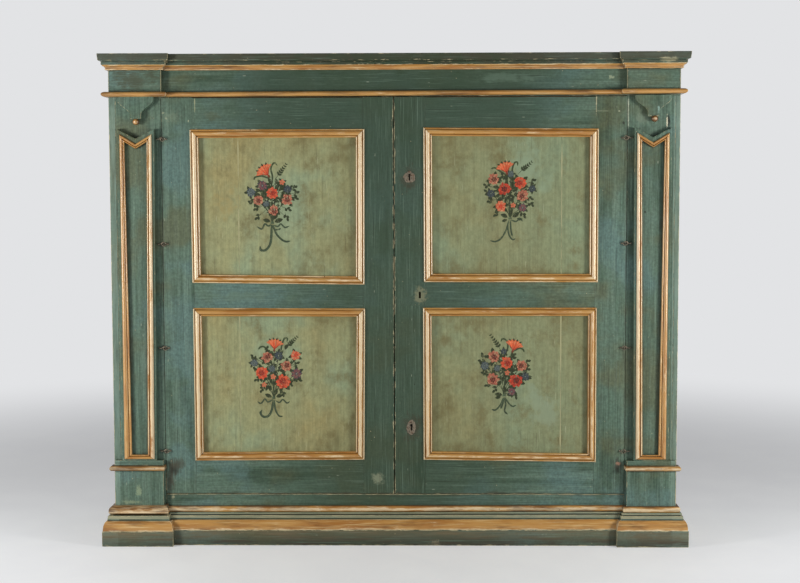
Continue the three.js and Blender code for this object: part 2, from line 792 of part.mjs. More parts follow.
// A lock: a shallow iron case on the back of the stile, and the bolt that slides in it
function addLock(name, keyholeZ) {
  const x0 = doorInner + lockEdgeInset;
  const x1 = x0 + lockCaseWidth;
  const z0 = keyholeZ - lockCaseHeight / 2;
  const z1 = keyholeZ + lockCaseHeight / 2;
  const y1 = doorBackY + lockCaseDepth;
  const shell = boxBetween(x0, x1, doorBackY, y1, z0, z1);
  const hollow = boxBetween(
    x0 + lockWall, x1 - lockWall, doorBackY - cutOverrun, y1 - lockWall, z0 + lockWall, z1 - lockWall,
  );
  const boltZ = keyholeZ + lockBoltRise;
  const boltHalf = lockBoltHeight / 2;
  const boltY = y1 - lockWall - fitGap - lockBoltThickness;
  const slot = boxBetween(
    x0 - cutOverrun, x0 + lockWall + cutOverrun, boltY - fitGap, boltY + lockBoltThickness + fitGap,
    boltZ - boltHalf - fitGap, boltZ + boltHalf + fitGap,
  );
  addMesh(rightDoor, `${name}_lock_case`, cut(shell, hollow, slot), iron);
  const bolt = boxBetween(
    x0, x1 - lockWall - lockTailRoom, boltY, boltY + lockBoltThickness, boltZ - boltHalf, boltZ + boltHalf,
  );
  addMesh(rightDoor, `${name}_lock_bolt`, bolt, iron);
}

// A flat bolt with a turned knob on the back of the left meeting stile
function addDoorBolt(name, bottom) {
  const middle = -(doorInner + barInset);
  const y0 = doorBackY + fitGap;
  const bar = boxBetween(
    middle - barWidth / 2, middle + barWidth / 2, y0, y0 + barThickness, bottom, bottom + barLength,
  );
  const knob = new THREE.CylinderGeometry(
    barKnobRadius, barKnobRadius / 2, barKnobLength + cutOverrun, eyeSides,
  );
  knob.translate(
    middle, y0 + barThickness + (barKnobLength - cutOverrun) / 2, bottom + barLength / 2,
  );
  addMesh(leftDoor, name, join(bar, knob), iron);
}

addSideBoard('left_side_board', -1);
addSideBoard('right_side_board', 1);
addFloorBoard();
addTopBoard();
addBackPanel();
addShelf('lower_shelf', shelfHeights()[0]);
addShelf('upper_shelf', shelfHeights()[1]);
addFrontStile('left_front_stile', -1);
addFrontStile('right_front_stile', 1);
addFriezeBoard();
addBottomRail();
addCornice();
addStringMoulding();
addBaseMoulding();
for (const [word, side] of [['left', -1], ['right', 1]]) {
  addPilaster(`${word}_pilaster`, side);
  addDrop(`${word}_drop`, side);
  addPedestal(`${word}_pedestal`, side);
}
addDoor(leftDoor, 'left_door', -1);
addDoor(rightDoor, 'right_door', 1);
addEyes();
addLock('upper', keyholeHeights().upper);
addLock('lower', keyholeHeights().lower);
addDoorBolt('top_door_bolt', openingTop - stopOverlap - barLength - boltClearance);
addDoorBolt('bottom_door_bolt', openingBottom + stopOverlap + boltClearance);

export default cupboard;
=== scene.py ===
# %% [markdown]
# # Dressing a painted two-door cupboard
# The cupboard is built elsewhere as plain, exact boards, doors and hinges. Here it is dressed: boards get
# soft, uneven edges, mouldings their worn paint, door panels their flower bunches. The exact model is
# loaded first as a frame, and each new piece takes its size and place from it, so the doors still swing and
# nothing is fitted by eye.

# %% Load the frame and keep its size
import random
from math import asin, atan2, cos, dist, hypot, pi, radians, sin

import bmesh
import bpy
import numpy as np
from mathutils import Euler, Matrix, Vector, noise


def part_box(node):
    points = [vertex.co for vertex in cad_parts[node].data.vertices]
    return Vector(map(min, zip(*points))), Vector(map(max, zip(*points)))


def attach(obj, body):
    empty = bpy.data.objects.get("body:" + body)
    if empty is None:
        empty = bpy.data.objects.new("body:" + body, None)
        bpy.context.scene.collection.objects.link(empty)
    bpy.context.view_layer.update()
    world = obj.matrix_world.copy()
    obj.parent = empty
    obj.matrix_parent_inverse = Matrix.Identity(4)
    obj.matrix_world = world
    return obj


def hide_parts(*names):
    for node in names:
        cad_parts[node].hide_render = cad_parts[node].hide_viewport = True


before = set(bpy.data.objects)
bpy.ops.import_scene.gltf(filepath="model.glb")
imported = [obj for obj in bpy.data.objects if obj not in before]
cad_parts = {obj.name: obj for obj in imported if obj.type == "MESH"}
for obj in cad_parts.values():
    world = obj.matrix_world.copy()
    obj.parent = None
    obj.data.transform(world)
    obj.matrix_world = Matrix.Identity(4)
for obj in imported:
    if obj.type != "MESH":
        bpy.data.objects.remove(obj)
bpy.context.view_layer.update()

full_turn = 2 * pi


def turns(count, first=0.0):
    """Even directions all round, from a first one on."""
    return [first + full_turn * i / count for i in range(count)]

into_scene = bpy.context.scene.collection.objects.link

# %% [markdown]
# ## The camera
# The photograph was taken almost straight on, from a little above the middle of the doors and just right of
# them. A lens far away would flatten the stepped base, and a near one would splay it. This one was found by
# matching the corners of the four door panels, so its place is kept to the millimetre.

# %% Camera
lens_mm = 58.5
camera_place = Vector((0.102, -5.3985, 1.361))
camera_down, camera_turn, camera_roll = (radians(a) for a in (3.805, 0.871, -0.133))

camera = bpy.data.objects.new("camera", bpy.data.cameras.new("camera"))
camera.data.lens = lens_mm
camera.data.sensor_width = 36
camera.location = camera_place
aim = Euler((pi / 2 - camera_down, 0, camera_turn)).to_matrix() @ Matrix.Rotation(camera_roll, 3, "Z")
camera.rotation_euler = aim.to_euler()
into_scene(camera)
bpy.context.scene.camera = camera
bpy.context.scene.view_settings.view_transform = "Standard"
print("camera stands", round(-camera_place.y, 2), "m in front of the cupboard")

# %% [markdown]
# ## The studio
# Two soft boxes stand close by, left and right of the cupboard, because the photograph shows each pilaster
# throwing its own crisp shadow towards the doors. They rake the mouldings and leave the middle darker. A
# pale surround fills the shadows a little, and the pale floor fades into it far away, so that no horizon
# cuts behind the cupboard.

# %% Colours as a painter writes them
def tone(red, green, blue):
    """A colour given as it looks on screen, 0 to 255, in the linear values that a shader wants."""
    linear = [((c / 255 + 0.055) / 1.055) ** 2.4 if c > 10 else c / 255 / 12.92 for c in (red, green, blue)]
    return (*linear, 1.0)


# %% Soft boxes
lamp_distance, lamp_front, lamp_height = 3.2, -2.05, 1.2
lamp_size = (0.7, 1.0)
lamp_power = 84
lamp_colour = (1.0, 0.97, 0.915)


def soft_box(name, side):
    light = bpy.data.lights.new(name, "AREA")
    light.shape = "RECTANGLE"
    light.size, light.size_y = lamp_size
    light.energy = lamp_power
    light.color = lamp_colour
    lamp = bpy.data.objects.new(name, light)
    lamp.location = (side * lamp_distance, lamp_front, lamp_height)
    target = Vector((side * 0.7, 0, 0.95))
    lamp.rotation_euler = (target - lamp.location).to_track_quat("-Z", "Y").to_euler()
    into_scene(lamp)
    return lamp

lamps = [soft_box("left_soft_box", -1), soft_box("right_soft_box", 1)]
print("lamps:", [lamp.name for lamp in lamps])

# %% Surround
surround_fill = 0.2
surround_seen = tone(226, 227, 229)

world = bpy.data.worlds.new("studio")
bpy.context.scene.world = world
world.use_nodes = True
sky = world.node_tree
sky.nodes.clear()
ray = sky.nodes.new("ShaderNodeLightPath")
fill, pale = sky.nodes.new("ShaderNodeBackground"), sky.nodes.new("ShaderNodeBackground")
fill.inputs["Strength"].default_value = surround_fill
pale.inputs["Color"].default_value = surround_seen
either = sky.nodes.new("ShaderNodeMixShader")
for link in ((ray.outputs["Is Camera Ray"], either.inputs[0]), (fill.outputs[0], either.inputs[1]),
        (pale.outputs[0], either.inputs[2])):
    sky.links.new(*link)
sky.links.new(either.outputs[0], sky.nodes.new("ShaderNodeOutputWorld").inputs["Surface"])
print("surround gives", surround_fill, "of full light")

# %% [markdown]
# ## Mixing paint
# A finish is a small graph of nodes. Written node by node it hides its recipe, so a paint pot wraps the
# steps that a painter would name: lay on a colour, streak it, chip it, rub in a stain. The pieces carry
# what the paint has to know as values on their points: how the grain runs, where an arris is worn and where
# dirt gathers.

# %% The paint pot
class PaintPot:
    """One material while it is being mixed. Its colour is the paint so far. Most methods add a node and
    hand back its output; cover, lay, shade and stain change the colour."""

    def __init__(self, name):
        self.material = bpy.data.materials.new(name)
        self.material.use_nodes = True
        self.tree = self.material.node_tree
        self.shader = self.tree.nodes["Principled BSDF"]
        self.colour = None

    def node(self, kind, inputs=None, out=0, **settings):
        made = self.tree.nodes.new(kind)
        for key, value in settings.items():
            setattr(made, key, value)
        for key, value in (inputs or {}).items():
            self.feed(made.inputs[key], value)
        return made.outputs[out]

    def feed(self, socket, value):
        if isinstance(value, bpy.types.NodeSocket):
            self.tree.links.new(value, socket)
        else:
            socket.default_value = value

    def math(self, kind, *values):
        return self.node("ShaderNodeMath", dict(enumerate(values)), operation=kind)

    def carried(self, name, out="Fac"):
        """A value that the mesh carries on its points."""
        return self.node("ShaderNodeAttribute", out=out, attribute_name=name)

    def place(self):
        """Where a point is on the cupboard, in metres."""
        return self.node("ShaderNodeTexCoord", out="Object")

    def part(self, vector, axis):
        """How far a place is along one axis."""
        return self.node("ShaderNodeSeparateXYZ", {0: vector}, out=axis)

    def stretch(self, vector, scale):
        """A place scaled by one number or by three."""
        scale = scale if isinstance(scale, tuple) else (scale,) * 3
        return self.node("ShaderNodeVectorMath", {0: vector, 1: scale}, operation="MULTIPLY")

    def cloud(self, vector, scale, detail=3.0, rough=0.55, twist=0.0):
        """Smooth noise, from 0 to 1 and mostly near a half."""
        inputs = {"Vector": self.stretch(vector, scale), "Scale": 1.0, "Detail": detail, "Roughness": rough,
            "Distortion": twist}
        return self.node("ShaderNodeTexNoise", inputs)

    def cells(self, vector, scale):
        """Distance to the nearest of many scattered points."""
        return self.node("ShaderNodeTexVoronoi", {"Vector": self.stretch(vector, scale), "Scale": 1.0})

    def step(self, value, low, high, to_low=0.0, to_high=1.0):
        """A smooth step of a value from low to high."""
        inputs = {"Value": value, "From Min": low, "From Max": high, "To Min": to_low, "To Max": to_high}
        return self.node("ShaderNodeMapRange", inputs, interpolation_type="SMOOTHSTEP")

    def sum(self, first, second, share=1.0):
        """first + second * share"""
        return self.math("MULTIPLY_ADD", second, share, first)

    def times(self, first, second):
        return self.math("MULTIPLY", first, second)

    def coat(self, under, over, cover):
        """Lays a colour over another; cover is how much of it holds."""
        return self.node("ShaderNodeMix", {0: cover, 6: under, 7: over}, out=2, data_type="RGBA")

    def cover(self, over, share):
        """Lays another colour over the paint so far; share is how much of it holds."""
        self.colour = self.coat(self.colour, over, share)

    def lay(self, over, value, low, high, most=1.0):
        """Lays a colour where a value goes from low to high."""
        self.cover(over, self.step(value, low, high, 0.0, most))

    def shade(self, value, low, high, dark, light):
        """Darkens or lightens the paint so far by a value."""
        self.colour = self.node("ShaderNodeMix", {0: 1.0, 6: self.colour, 7: self.step(value, low, high, dark,
            light)}, out=2, data_type="RGBA", blend_type="MULTIPLY")

    def stain(self, where, ragged, spots):
        """Rubs ragged spots of other colours into the paint."""
        for x, z, reach_x, reach_z, red, green, blue, strength in spots:
            scale, middle = (1 / reach_x, 0.0, 1 / reach_z), (x / reach_x, 0.0, z / reach_z)
            away = self.node("ShaderNodeVectorMath", {0: self.stretch(where, scale), 1: middle}, out=1,
                operation="DISTANCE")
            self.lay(tone(red, green, blue), self.sum(away, ragged, 2.2), 2.75, 2.15, strength)

    def set(self, name, value):
        self.feed(self.shader.inputs[name], value)

    def dry(self, roughness, relief, depth):
        """The finished paint, with relief depth metres high."""
        self.set("Base Color", self.colour)
        self.set("Roughness", roughness)
        self.set("Normal", self.node("ShaderNodeBump", {"Height": relief, "Distance": depth, "Strength": 1.0}))
        return self.material


# %% [markdown]
# ## Blue-green frame paint
# The boards are brushed with a thin blue-green paint that dried in streaks along the grain. Wax and hands
# have browned it towards the edges, and along the arrises it has chipped down to pale ground. The middle of
# the doors and the top are painted darker, partly hand grime and partly painted shade where the side lamps
# reach less. So the recipe is three greens in streaks, a bluish bloom, a darker middle, a brown glaze where
# dirt gathers, stains and scuffs, chips where an arris is worn, and pale specks and dark pits.

# %% Frame paint
deep_green, teal, pale_teal = tone(48, 70, 53), tone(82, 106, 91), tone(114, 137, 122)
blue_bloom, olive_glaze, dirt_brown = tone(88, 117, 114), tone(88, 90, 60), tone(58, 54, 38)
shaded_middle_green, bare_ground, pit_black = tone(50, 68, 50), tone(184, 174, 138), tone(26, 24, 18)
lit_edge_green, ledge_dust = tone(126, 148, 136), tone(152, 150, 122)
mopped_high, plinth_foot_dark, scuffed = tone(106, 97, 74), tone(62, 59, 48), tone(146, 156, 138)
# Each spot: its middle across and up, its reach across and up, red, green, blue, and how strong it is.
hinge_line = 0.9213
frame_spots = [
    (-0.715, 1.715, 0.06, 0.03, 76, 78, 50, 0.4), (-1.02, 1.852, 0.15, 0.07, 66, 72, 54, 0.85),
    # The broad dark spot over the top of the middle is painted shade, like the darker middle of the doors.
    (0.0, 1.93, 0.75, 0.07, 44, 60, 36, 0.55), (1.02, 0.03, 0.17, 0.07, 70, 68, 54, 0.8),
    (-0.902, 0.268, 0.03, 0.095, 64, 58, 42, 0.75), (-0.88, 0.325, 0.05, 0.03, 64, 60, 44, 0.6),
    (0.906, 1.682, 0.006, 0.009, 40, 44, 36, 0.9), (-0.82, 1.442, 0.004, 0.014, 38, 48, 42, 0.9),
    (1.0835, 1.688, 0.0085, 0.046, 20, 24, 20, 1.0), (0.992, 1.331, 0.005, 0.006, 34, 44, 38, 0.9),
    (0.893, 0.318, 0.035, 0.06, 54, 52, 42, 0.8), (0.064, 1.47, 0.055, 0.075, 60, 56, 40, 0.75),
    (0.07, 0.47, 0.06, 0.085, 58, 54, 38, 0.75), (-0.89, 0.3, 0.035, 0.05, 62, 60, 46, 0.6),
    (0.45, 1.86, 0.2, 0.03, 96, 118, 102, 0.5), (-0.6, 0.999, 0.24, 0.035, 94, 116, 98, 0.5)]
hinge_heights = [sum(corner.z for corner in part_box(f"left_case_eye_{i}")) / 2 for i in range(1, 5)]
frame_spots += [(side * hinge_line, z, 0.02, 0.016, 30, 32, 26, 0.9) for z in hinge_heights for side in (-1, 1)]
frame_scuffs = [
    (-1.028, 0.215, 0.016, 0.034, 142, 158, 126, 0.6), (-1.055, 0.17, 0.055, 0.012, 136, 150, 120, 0.6),
    (-0.9212, 0.245, 0.0034, 0.07, 176, 170, 140, 0.9), (0.9238, 1.74, 0.005, 0.085, 168, 176, 156, 0.9),
    (-0.9136, 1.727, 0.009, 0.005, 150, 156, 130, 0.8), (-0.902, 1.705, 0.01, 0.007, 154, 160, 134, 0.8),
    (-0.813, 1.695, 0.005, 0.008, 170, 176, 148, 0.9), (-0.88, 1.712, 0.06, 0.04, 118, 132, 110, 0.35),
    (-0.7876, 1.762, 0.0036, 0.05, 150, 154, 122, 0.9), (0.7988, 1.757, 0.004, 0.052, 176, 172, 140, 1.0),
    (0.825, 1.7295, 0.045, 0.0034, 128, 136, 112, 0.5), (0.889, 1.729, 0.005, 0.004, 170, 176, 150, 0.9),
    (1.0772, 1.69, 0.0038, 0.03, 206, 202, 176, 1.0), (1.04, 1.735, 0.006, 0.03, 138, 168, 160, 0.7),
    (0.166, 0.01, 0.03, 0.02, 168, 158, 130, 0.9), (-0.065, 0.262, 0.035, 0.03, 128, 136, 112, 0.8),
    (0.895, 0.325, 0.014, 0.01, 146, 112, 92, 0.9), (0.105, 1.003, 0.035, 0.045, 126, 126, 98, 0.7),
    (0.855, 1.862, 0.014, 0.01, 140, 152, 126, 0.9), (-0.895, 0.185, 0.012, 0.014, 150, 150, 120, 0.8),
    (1.075, 1.925, 0.05, 0.012, 150, 146, 118, 0.8), (0.98, 1.7, 0.04, 0.03, 120, 134, 116, 0.45)]


def streaked_green(pot, grain, where):
    """The paint before any wear: streaks of three greens under a bluish bloom and an olive glaze."""
    broad = pot.cloud(grain, (2.2, 13, 13), 3)
    streak = pot.cloud(grain, (1.6, 60, 60), 5, 0.62, twist=0.3)
    fine = pot.cloud(grain, (9, 360, 360), 3)
    pot.colour = deep_green
    pot.lay(teal, broad, 0.25, 0.5)
    pot.lay(pale_teal, streak, 0.46, 0.74, 0.5)
    pot.lay(deep_green, streak, 0.5, 0.27, 0.55)
    bloom = pot.cloud(where, (2.6, 2.6, 3.4), 4)
    pot.lay(blue_bloom, bloom, 0.5, 0.62, 0.65)
    pot.lay(olive_glaze, bloom, 0.49, 0.36, 0.6)
    speckle = pot.cloud(where, 95, 3, 0.7)
    pot.shade(speckle, 0.3, 0.7, 0.78, 1.18)
    pot.shade(fine, 0.25, 0.75, 0.76, 1.16)
    return streak, fine


def lit_edge_strip(pot, where, drag):
    """Where the edges of the side boards show beside the front frame: a painted highlight, paler paint
    where the side lamps rake them.
    """
    across, depth, up = (pot.part(where, i) for i in range(3))
    out = pot.step(pot.math("ABSOLUTE", across), 1.1035, 1.1045)
    front = pot.times(pot.step(depth, -0.224, -0.228), pot.step(up, 1.795, 1.785))
    return pot.times(pot.times(out, front), pot.step(drag, 0.3, 0.65, 0.75, 0.3))


def middle_painted_shade(pot, where):
    """How far the paint is darkened: most at the meeting edges of the doors and over them, not at all at the
    sides. It is partly hand grime and partly painted shade, where the side lamps leave the middle and the top darker."""
    up, off_middle = pot.part(where, 2), pot.math("ABSOLUTE", pot.part(where, 0))
    top_painted_shade = pot.times(pot.step(up, 1.35, 1.72, 0.0, 0.75), pot.step(off_middle, 0.4, 1.15, 1.0, 0.0))
    return pot.sum(pot.step(off_middle, 0.1, 0.8, 1.0, 0.0), top_painted_shade)

pot = PaintPot("frame_paint")
grain, where = pot.carried("grain", "Vector"), pot.place()
worn, grime = pot.carried("worn"), pot.carried("grime")
streak, fine = streaked_green(pot, grain, where)
# Painted shade with some hand grime: the middle of the doors and the top are painted darker green.
pot.lay(shaded_middle_green, middle_painted_shade(pot, where), 0.0, 1.3, 0.85)
smear = pot.cloud(where, 14, 5, 0.65)
drag = pot.cloud(grain, (7, 70, 70), 5, 0.65)
# Painted highlight: the outer edges of the stiles are painted paler, where the side lamps rake them.
pot.cover(lit_edge_green, lit_edge_strip(pot, where, drag))
dirty = pot.sum(pot.sum(pot.times(smear, 0.5), drag, 0.5), grime, 0.3)
pot.lay(dirt_brown, dirty, 0.56, 0.92, 0.8)
flake = pot.cloud(grain, (30, 210, 210), 4, 0.7)
pot.stain(where, pot.sum(smear, flake, 0.8), frame_spots)
torn = pot.sum(pot.times(smear, 0.6), pot.cloud(where, 75, 5, 0.75), 1.1)
pot.stain(where, torn, frame_scuffs)
up = pot.part(where, 2)
# Grey-brown low on the plinth, and darker towards the floor.
plinth_low_tone = pot.coat(mopped_high, plinth_foot_dark, pot.step(up, 0.055, 0.008))
low = pot.times(pot.step(up, 0.068, 0.058), pot.step(drag, 0.34, 0.6, 1.0, 0.5))
pot.cover(plinth_low_tone, low)
dusty = pot.times(pot.step(grime, -0.05, -0.6), pot.step(drag, 0.34, 0.6, 1.0, 0.6))
pot.cover(ledge_dust, dusty)
hair = pot.cloud(grain, (5, 420, 420), 2)
pot.lay(pale_teal, hair, 0.62, 0.68, 0.5)
pot.lay(pit_black, hair, 0.36, 0.3, 0.45)
chip = pot.step(pot.sum(flake, worn, 0.33), 0.76, 0.81)
pot.cover(bare_ground, pot.times(chip, 0.85))
speck = pot.step(pot.cells(where, 34), 0.075, 0.045)
pot.cover(bare_ground, pot.times(speck, pot.step(flake, 0.5, 0.6, 0.0, 0.75)))
nick = pot.step(pot.cells(grain, (13, 46, 46)), 0.1, 0.06)
pot.cover(scuffed, pot.times(nick, pot.step(drag, 0.52, 0.6, 0.0, 0.7)))
pit = pot.step(pot.cells(where, 9), 0.026, 0.014)
pot.cover(pit_black, pit)
relief = pot.sum(pot.sum(pot.times(streak, 0.5), fine, 0.5), chip, -0.8)
pot.set("Specular IOR Level", 0.4)
frame_finish = pot.dry(pot.step(smear, 0.3, 0.7, 0.38, 0.58), relief, 0.0005)
print("mixed", frame_finish.name)

# %% [markdown]
# ## Ochre-gold paint
# The mouldings are picked out in a warm ochre, varnished to look like gilding. It is orange-brown in the
# hollows, rubbed to cream on the crests, and glossy, so a raking lamp draws a bright line down each round.
# A clear coat over a mottled ochre does this; real metal would go black where it reflects a dark room.

# %% Gold paint
ochre, orange_ochre, cream = tone(184, 138, 74), tone(160, 108, 46), tone(224, 200, 148)
quirk_brown, rubbed_wood = tone(78, 48, 20), tone(228, 208, 170)

pot = PaintPot("gold_paint")
grain, where = pot.carried("grain", "Vector"), pot.place()
worn, grime = pot.carried("worn"), pot.carried("grime")
broad = pot.cloud(grain, (5, 24, 24), 3)
streak = pot.cloud(grain, (7, 160, 160), 4)
pot.colour = orange_ochre
pot.lay(ochre, broad, 0.32, 0.6)
pot.lay(cream, streak, 0.52, 0.75, 0.6)
pot.lay(orange_ochre, streak, 0.45, 0.28, 0.5)
rub = pot.cloud(grain, (12, 60, 60), 4, 0.7)
pot.lay(rubbed_wood, pot.sum(rub, worn, 0.3), 0.64, 0.86, 0.8)
smear = pot.cloud(grain, (6, 40, 40), 5, 0.65)
pot.lay(quirk_brown, pot.sum(smear, grime, 0.5), 0.64, 1.0, 0.9)
pit = pot.step(pot.cells(where, 16), 0.05, 0.03)
pot.cover(quirk_brown, pot.times(pit, pot.step(rub, 0.5, 0.6)))
relief = pot.sum(pot.times(streak, 0.6), rub, 0.6)
pot.set("Coat Weight", 0.7)
pot.set("Coat Roughness", 0.22)
gold_finish = pot.dry(pot.step(rub, 0.3, 0.7, 0.28, 0.46), relief, 0.0004)
print("mixed", gold_finish.name)

# %% [markdown]
# ## Sage panel paint
# The panels are a lighter sage-olive, thinner than the frame paint, with cooler and warmer clouds and a
# border that grows darker and browner towards the mouldings. The flower bunches are painted on top and have
# rubbed through to it here and there, so the ground is a function that both finishes share.

# %% Panel paint
sage, warm_sage, cool_sage = tone(144, 147, 108), tone(146, 138, 94), tone(134, 154, 126)
smoke_brown, joint_pale, shaded_sage = tone(104, 96, 60), tone(190, 186, 146), tone(114, 128, 100)
panel_spots = [(-0.205, 1.655, 0.035, 0.06, 84, 82, 50, 0.7), (-0.19, 1.545, 0.03, 0.05, 88, 86, 52, 0.6),
    (-0.235, 0.42, 0.03, 0.08, 92, 90, 56, 0.5), (-0.66, 1.38, 0.05, 0.08, 150, 136, 88, 0.6),
    (0.52, 1.5, 0.12, 0.14, 134, 152, 126, 0.6), (0.6, 0.55, 0.12, 0.12, 134, 150, 126, 0.6)]


def sage_ground(pot, where):
    """The panel colour at a place on the cupboard, and the streaks in it."""
    cloud = pot.cloud(where, (3.6, 3.6, 2.8), 4, 0.55)
    streak = pot.cloud(where, (120, 120, 3.2), 5, 0.65)
    pot.colour = warm_sage
    pot.lay(sage, cloud, 0.32, 0.52)
    pot.lay(cool_sage, cloud, 0.5, 0.66, 0.7)
    pot.lay(shaded_sage, pot.part(where, 0), -0.3, 0.75, 0.6)
    pot.shade(streak, 0.25, 0.75, 0.86, 1.1)
    stain = pot.cloud(where, (10, 10, 8), 5, 0.7)
    pot.lay(smoke_brown, stain, 0.51, 0.74, 0.65)
    speckle = pot.cloud(where, (80, 80, 60), 3, 0.7)
    pot.shade(speckle, 0.3, 0.7, 0.86, 1.09)
    pot.stain(where, pot.sum(stain, stain, 0.8), panel_spots)
    return streak, stain

pot = PaintPot("panel_paint")
where = pot.place()
grime, worn = pot.carried("grime"), pot.carried("worn")
streak, stain = sage_ground(pot, where)
# Darker and browner towards the mouldings and in the brown clouds.
pot.lay(smoke_brown, pot.sum(stain, grime, 0.3), 0.6, 1.0, 0.6)
scratch = pot.step(pot.cloud(where, (240, 240, 14), 2), 0.7, 0.74, 0.0, 0.35)
pot.cover(tone(186, 190, 160), scratch)
crack = pot.step(pot.cloud(where, (210, 210, 6), 1), 0.3, 0.27, 0.0, 0.35)
pot.cover(dirt_brown, crack)
pot.lay(joint_pale, pot.sum(stain, worn, 0.5), 0.7, 0.92, 0.8)
relief = pot.sum(pot.times(streak, 0.7), scratch, -0.5)
pot.set("Specular IOR Level", 0.3)
panel_finish = pot.dry(pot.step(stain, 0.3, 0.7, 0.4, 0.6), relief, 0.0003)
print("mixed", panel_finish.name)

# %% [markdown]
# ## Bare wood and iron
# Inside, behind and on top the boards were never painted: softwood gone brown, with growth rings that show
# as long dark lines, knots, and dust on the top. A wave texture gives rings that are too even, so stretched
# noise is folded into bands instead. The iron is hand-wrought: dark, with rust in its pores.

# %% Raw wood
pot = PaintPot("raw_wood")
grain, where = pot.carried("grain", "Vector"), pot.place()
grime = pot.carried("grime")
ring = pot.cloud(grain, (1.1, 26, 26), 2, twist=0.8)
folded = pot.math("PINGPONG", pot.times(ring, 9.0), 1.0)
pot.colour = tone(150, 116, 78)
pot.lay(tone(112, 82, 52), folded, 0.35, 0.95, 0.75)
fibre = pot.cloud(grain, (14, 420, 420), 3)
pot.shade(fibre, 0.25, 0.75, 0.82, 1.1)
age = pot.cloud(where, (3.2, 3.2, 2.1), 4, 0.6)
pot.lay(tone(92, 78, 60), age, 0.45, 0.75, 0.7)
pot.lay(tone(58, 44, 30), pot.sum(age, grime, 0.4), 0.72, 1.05, 0.7)
knot = pot.step(pot.cells(grain, (2.6, 7.5, 7.5)), 0.13, 0.05)
pot.cover(tone(62, 38, 22), pot.times(knot, 0.8))
up = pot.part(where, 2)
settled = pot.times(pot.step(up, 1.94, 1.952), pot.step(age, 0.3, 0.7, 0.75, 0.45))
pot.cover(tone(138, 124, 104), settled)
relief = pot.sum(pot.times(fibre, 0.6), folded, -0.5)
wood_finish = pot.dry(pot.step(age, 0.3, 0.7, 0.62, 0.82), relief, 0.0005)
print("mixed", wood_finish.name)

# %% Iron
pot = PaintPot("iron")
where = pot.place()
hammer = pot.cloud(where, 160, 3)
rust = pot.cloud(where, 70, 5, 0.7)
pot.colour = tone(132, 122, 106)
pot.lay(tone(48, 43, 38), hammer, 0.5, 0.66)
pot.lay(tone(104, 70, 46), rust, 0.5, 0.7, 0.7)
pot.set("Metallic", 0.45)
iron_finish = pot.dry(pot.step(rust, 0.35, 0.7, 0.32, 0.6), hammer, 0.0004)
print("mixed", iron_finish.name)

# %% [markdown]
# ## The floor
# A plain pale sheet. It has to keep the cupboard's shadow near the object and vanish far away, so its paint
# turns into the colour of the surround beyond a few metres, measured from the cupboard and from the lamps
# and not from the camera.

# %% Floor
floor_reach, fade_start, fade_end = 60.0, 1.9, 5.5
lamp_fade_start, lamp_fade_end, floor_lift = 2.9, 1.6, 0.32

pot = PaintPot("studio_floor")
where = pot.place()
away = pot.node("ShaderNodeVectorMath", {0: where}, out=1, operation="LENGTH")
grain = pot.cloud(where, 3, 5, 0.6)
pot.colour = tone(224, 227, 233)
pot.lay(tone(230, 233, 238), grain, 0.3, 0.7)
pot.dry(pot.step(grain, 0.3, 0.7, 0.62, 0.7), grain, 0.0004)
glow = pot.node("ShaderNodeEmission", {"Color": surround_seen})
seen = pot.node("ShaderNodeLightPath", out="Is Camera Ray")
lift = pot.node("ShaderNodeEmission", {"Color": surround_seen, "Strength": pot.times(seen, floor_lift)})
near = pot.node("ShaderNodeAddShader", {0: pot.shader.outputs[0], 1: lift})
lamp_feet = [pot.node("ShaderNodeVectorMath", {0: where, 1: (side * lamp_distance, lamp_front, 0)}, out=1,
    operation="DISTANCE") for side in (-1, 1)]
nearest = pot.math("MINIMUM", *lamp_feet)
far = pot.math("MAXIMUM", pot.step(away, fade_start, fade_end), pot.step(nearest, lamp_fade_start, lamp_fade_end))
blend = pot.node("ShaderNodeMixShader", {0: far, 1: near, 2: glow})
pot.tree.links.new(blend, pot.tree.nodes["Material Output"].inputs["Surface"])

mesh = bpy.data.meshes.new("studio_floor")
corners = [(x * floor_reach, y * floor_reach, 0) for x, y in ((-1, -1), (1, -1), (1, 1), (-1, 1))]
mesh.from_pydata(corners, [], [(0, 1, 2, 3)])
mesh.materials.append(pot.material)
sheet = bpy.data.objects.new("studio_floor", mesh)
into_scene(sheet)
print("floor reaches", floor_reach, "m")

# %% [markdown]
# ## What every piece of wood needs
# Real boards are not boxes: a plane leaves the arris slightly round, and the face waves by a few tenths of
# a millimetre. Each piece is a mesh that says on its points how worn and how dirty it is there, and how far
# along and across its grain it lies. A different start for each board keeps one board's streaks from
# running on into the next.

# %% Values on the points
wear_reach, grime_reach = 0.0032, 0.012


def carry(mesh, name, values, kind="FLOAT"):
    """Writes a value or a vector for each point of a mesh."""
    field = mesh.attributes.new(name, kind, "POINT")
    flat = np.asarray(values, np.float32).ravel()
    field.data.foreach_set("vector" if kind == "FLOAT_VECTOR" else "value", flat)


def points_of(mesh):
    places = np.empty(len(mesh.vertices) * 3)
    mesh.vertices.foreach_get("co", places)
    return places.reshape(-1, 3)


def fade(distance, reach):
    """One at no distance, and nothing from a reach on."""
    return np.clip(1 - distance / reach, 0, 1)


def board_start(name):
    """Where a board's grain begins in the noise: the same for the same name."""
    chance = random.Random(name)
    return np.array([chance.uniform(0, 40) for _ in range(3)])


def carry_board_values(mesh, name, low, high, grain_axis):
    """Wear and grime by the distance to the nearest arris, the middle one of the distances to the faces."""
    places = points_of(mesh)
    gaps = np.minimum(places - np.array(low), np.array(high) - places)
    to_arris = np.sort(np.clip(gaps, 0, None), axis=1)[:, 1]
    carry(mesh, "worn", fade(to_arris, wear_reach))
    carry(mesh, "grime", fade(to_arris, grime_reach))
    along_first = np.roll(places, -grain_axis, axis=1)
    carry(mesh, "grain", along_first + board_start(name), "FLOAT_VECTOR")


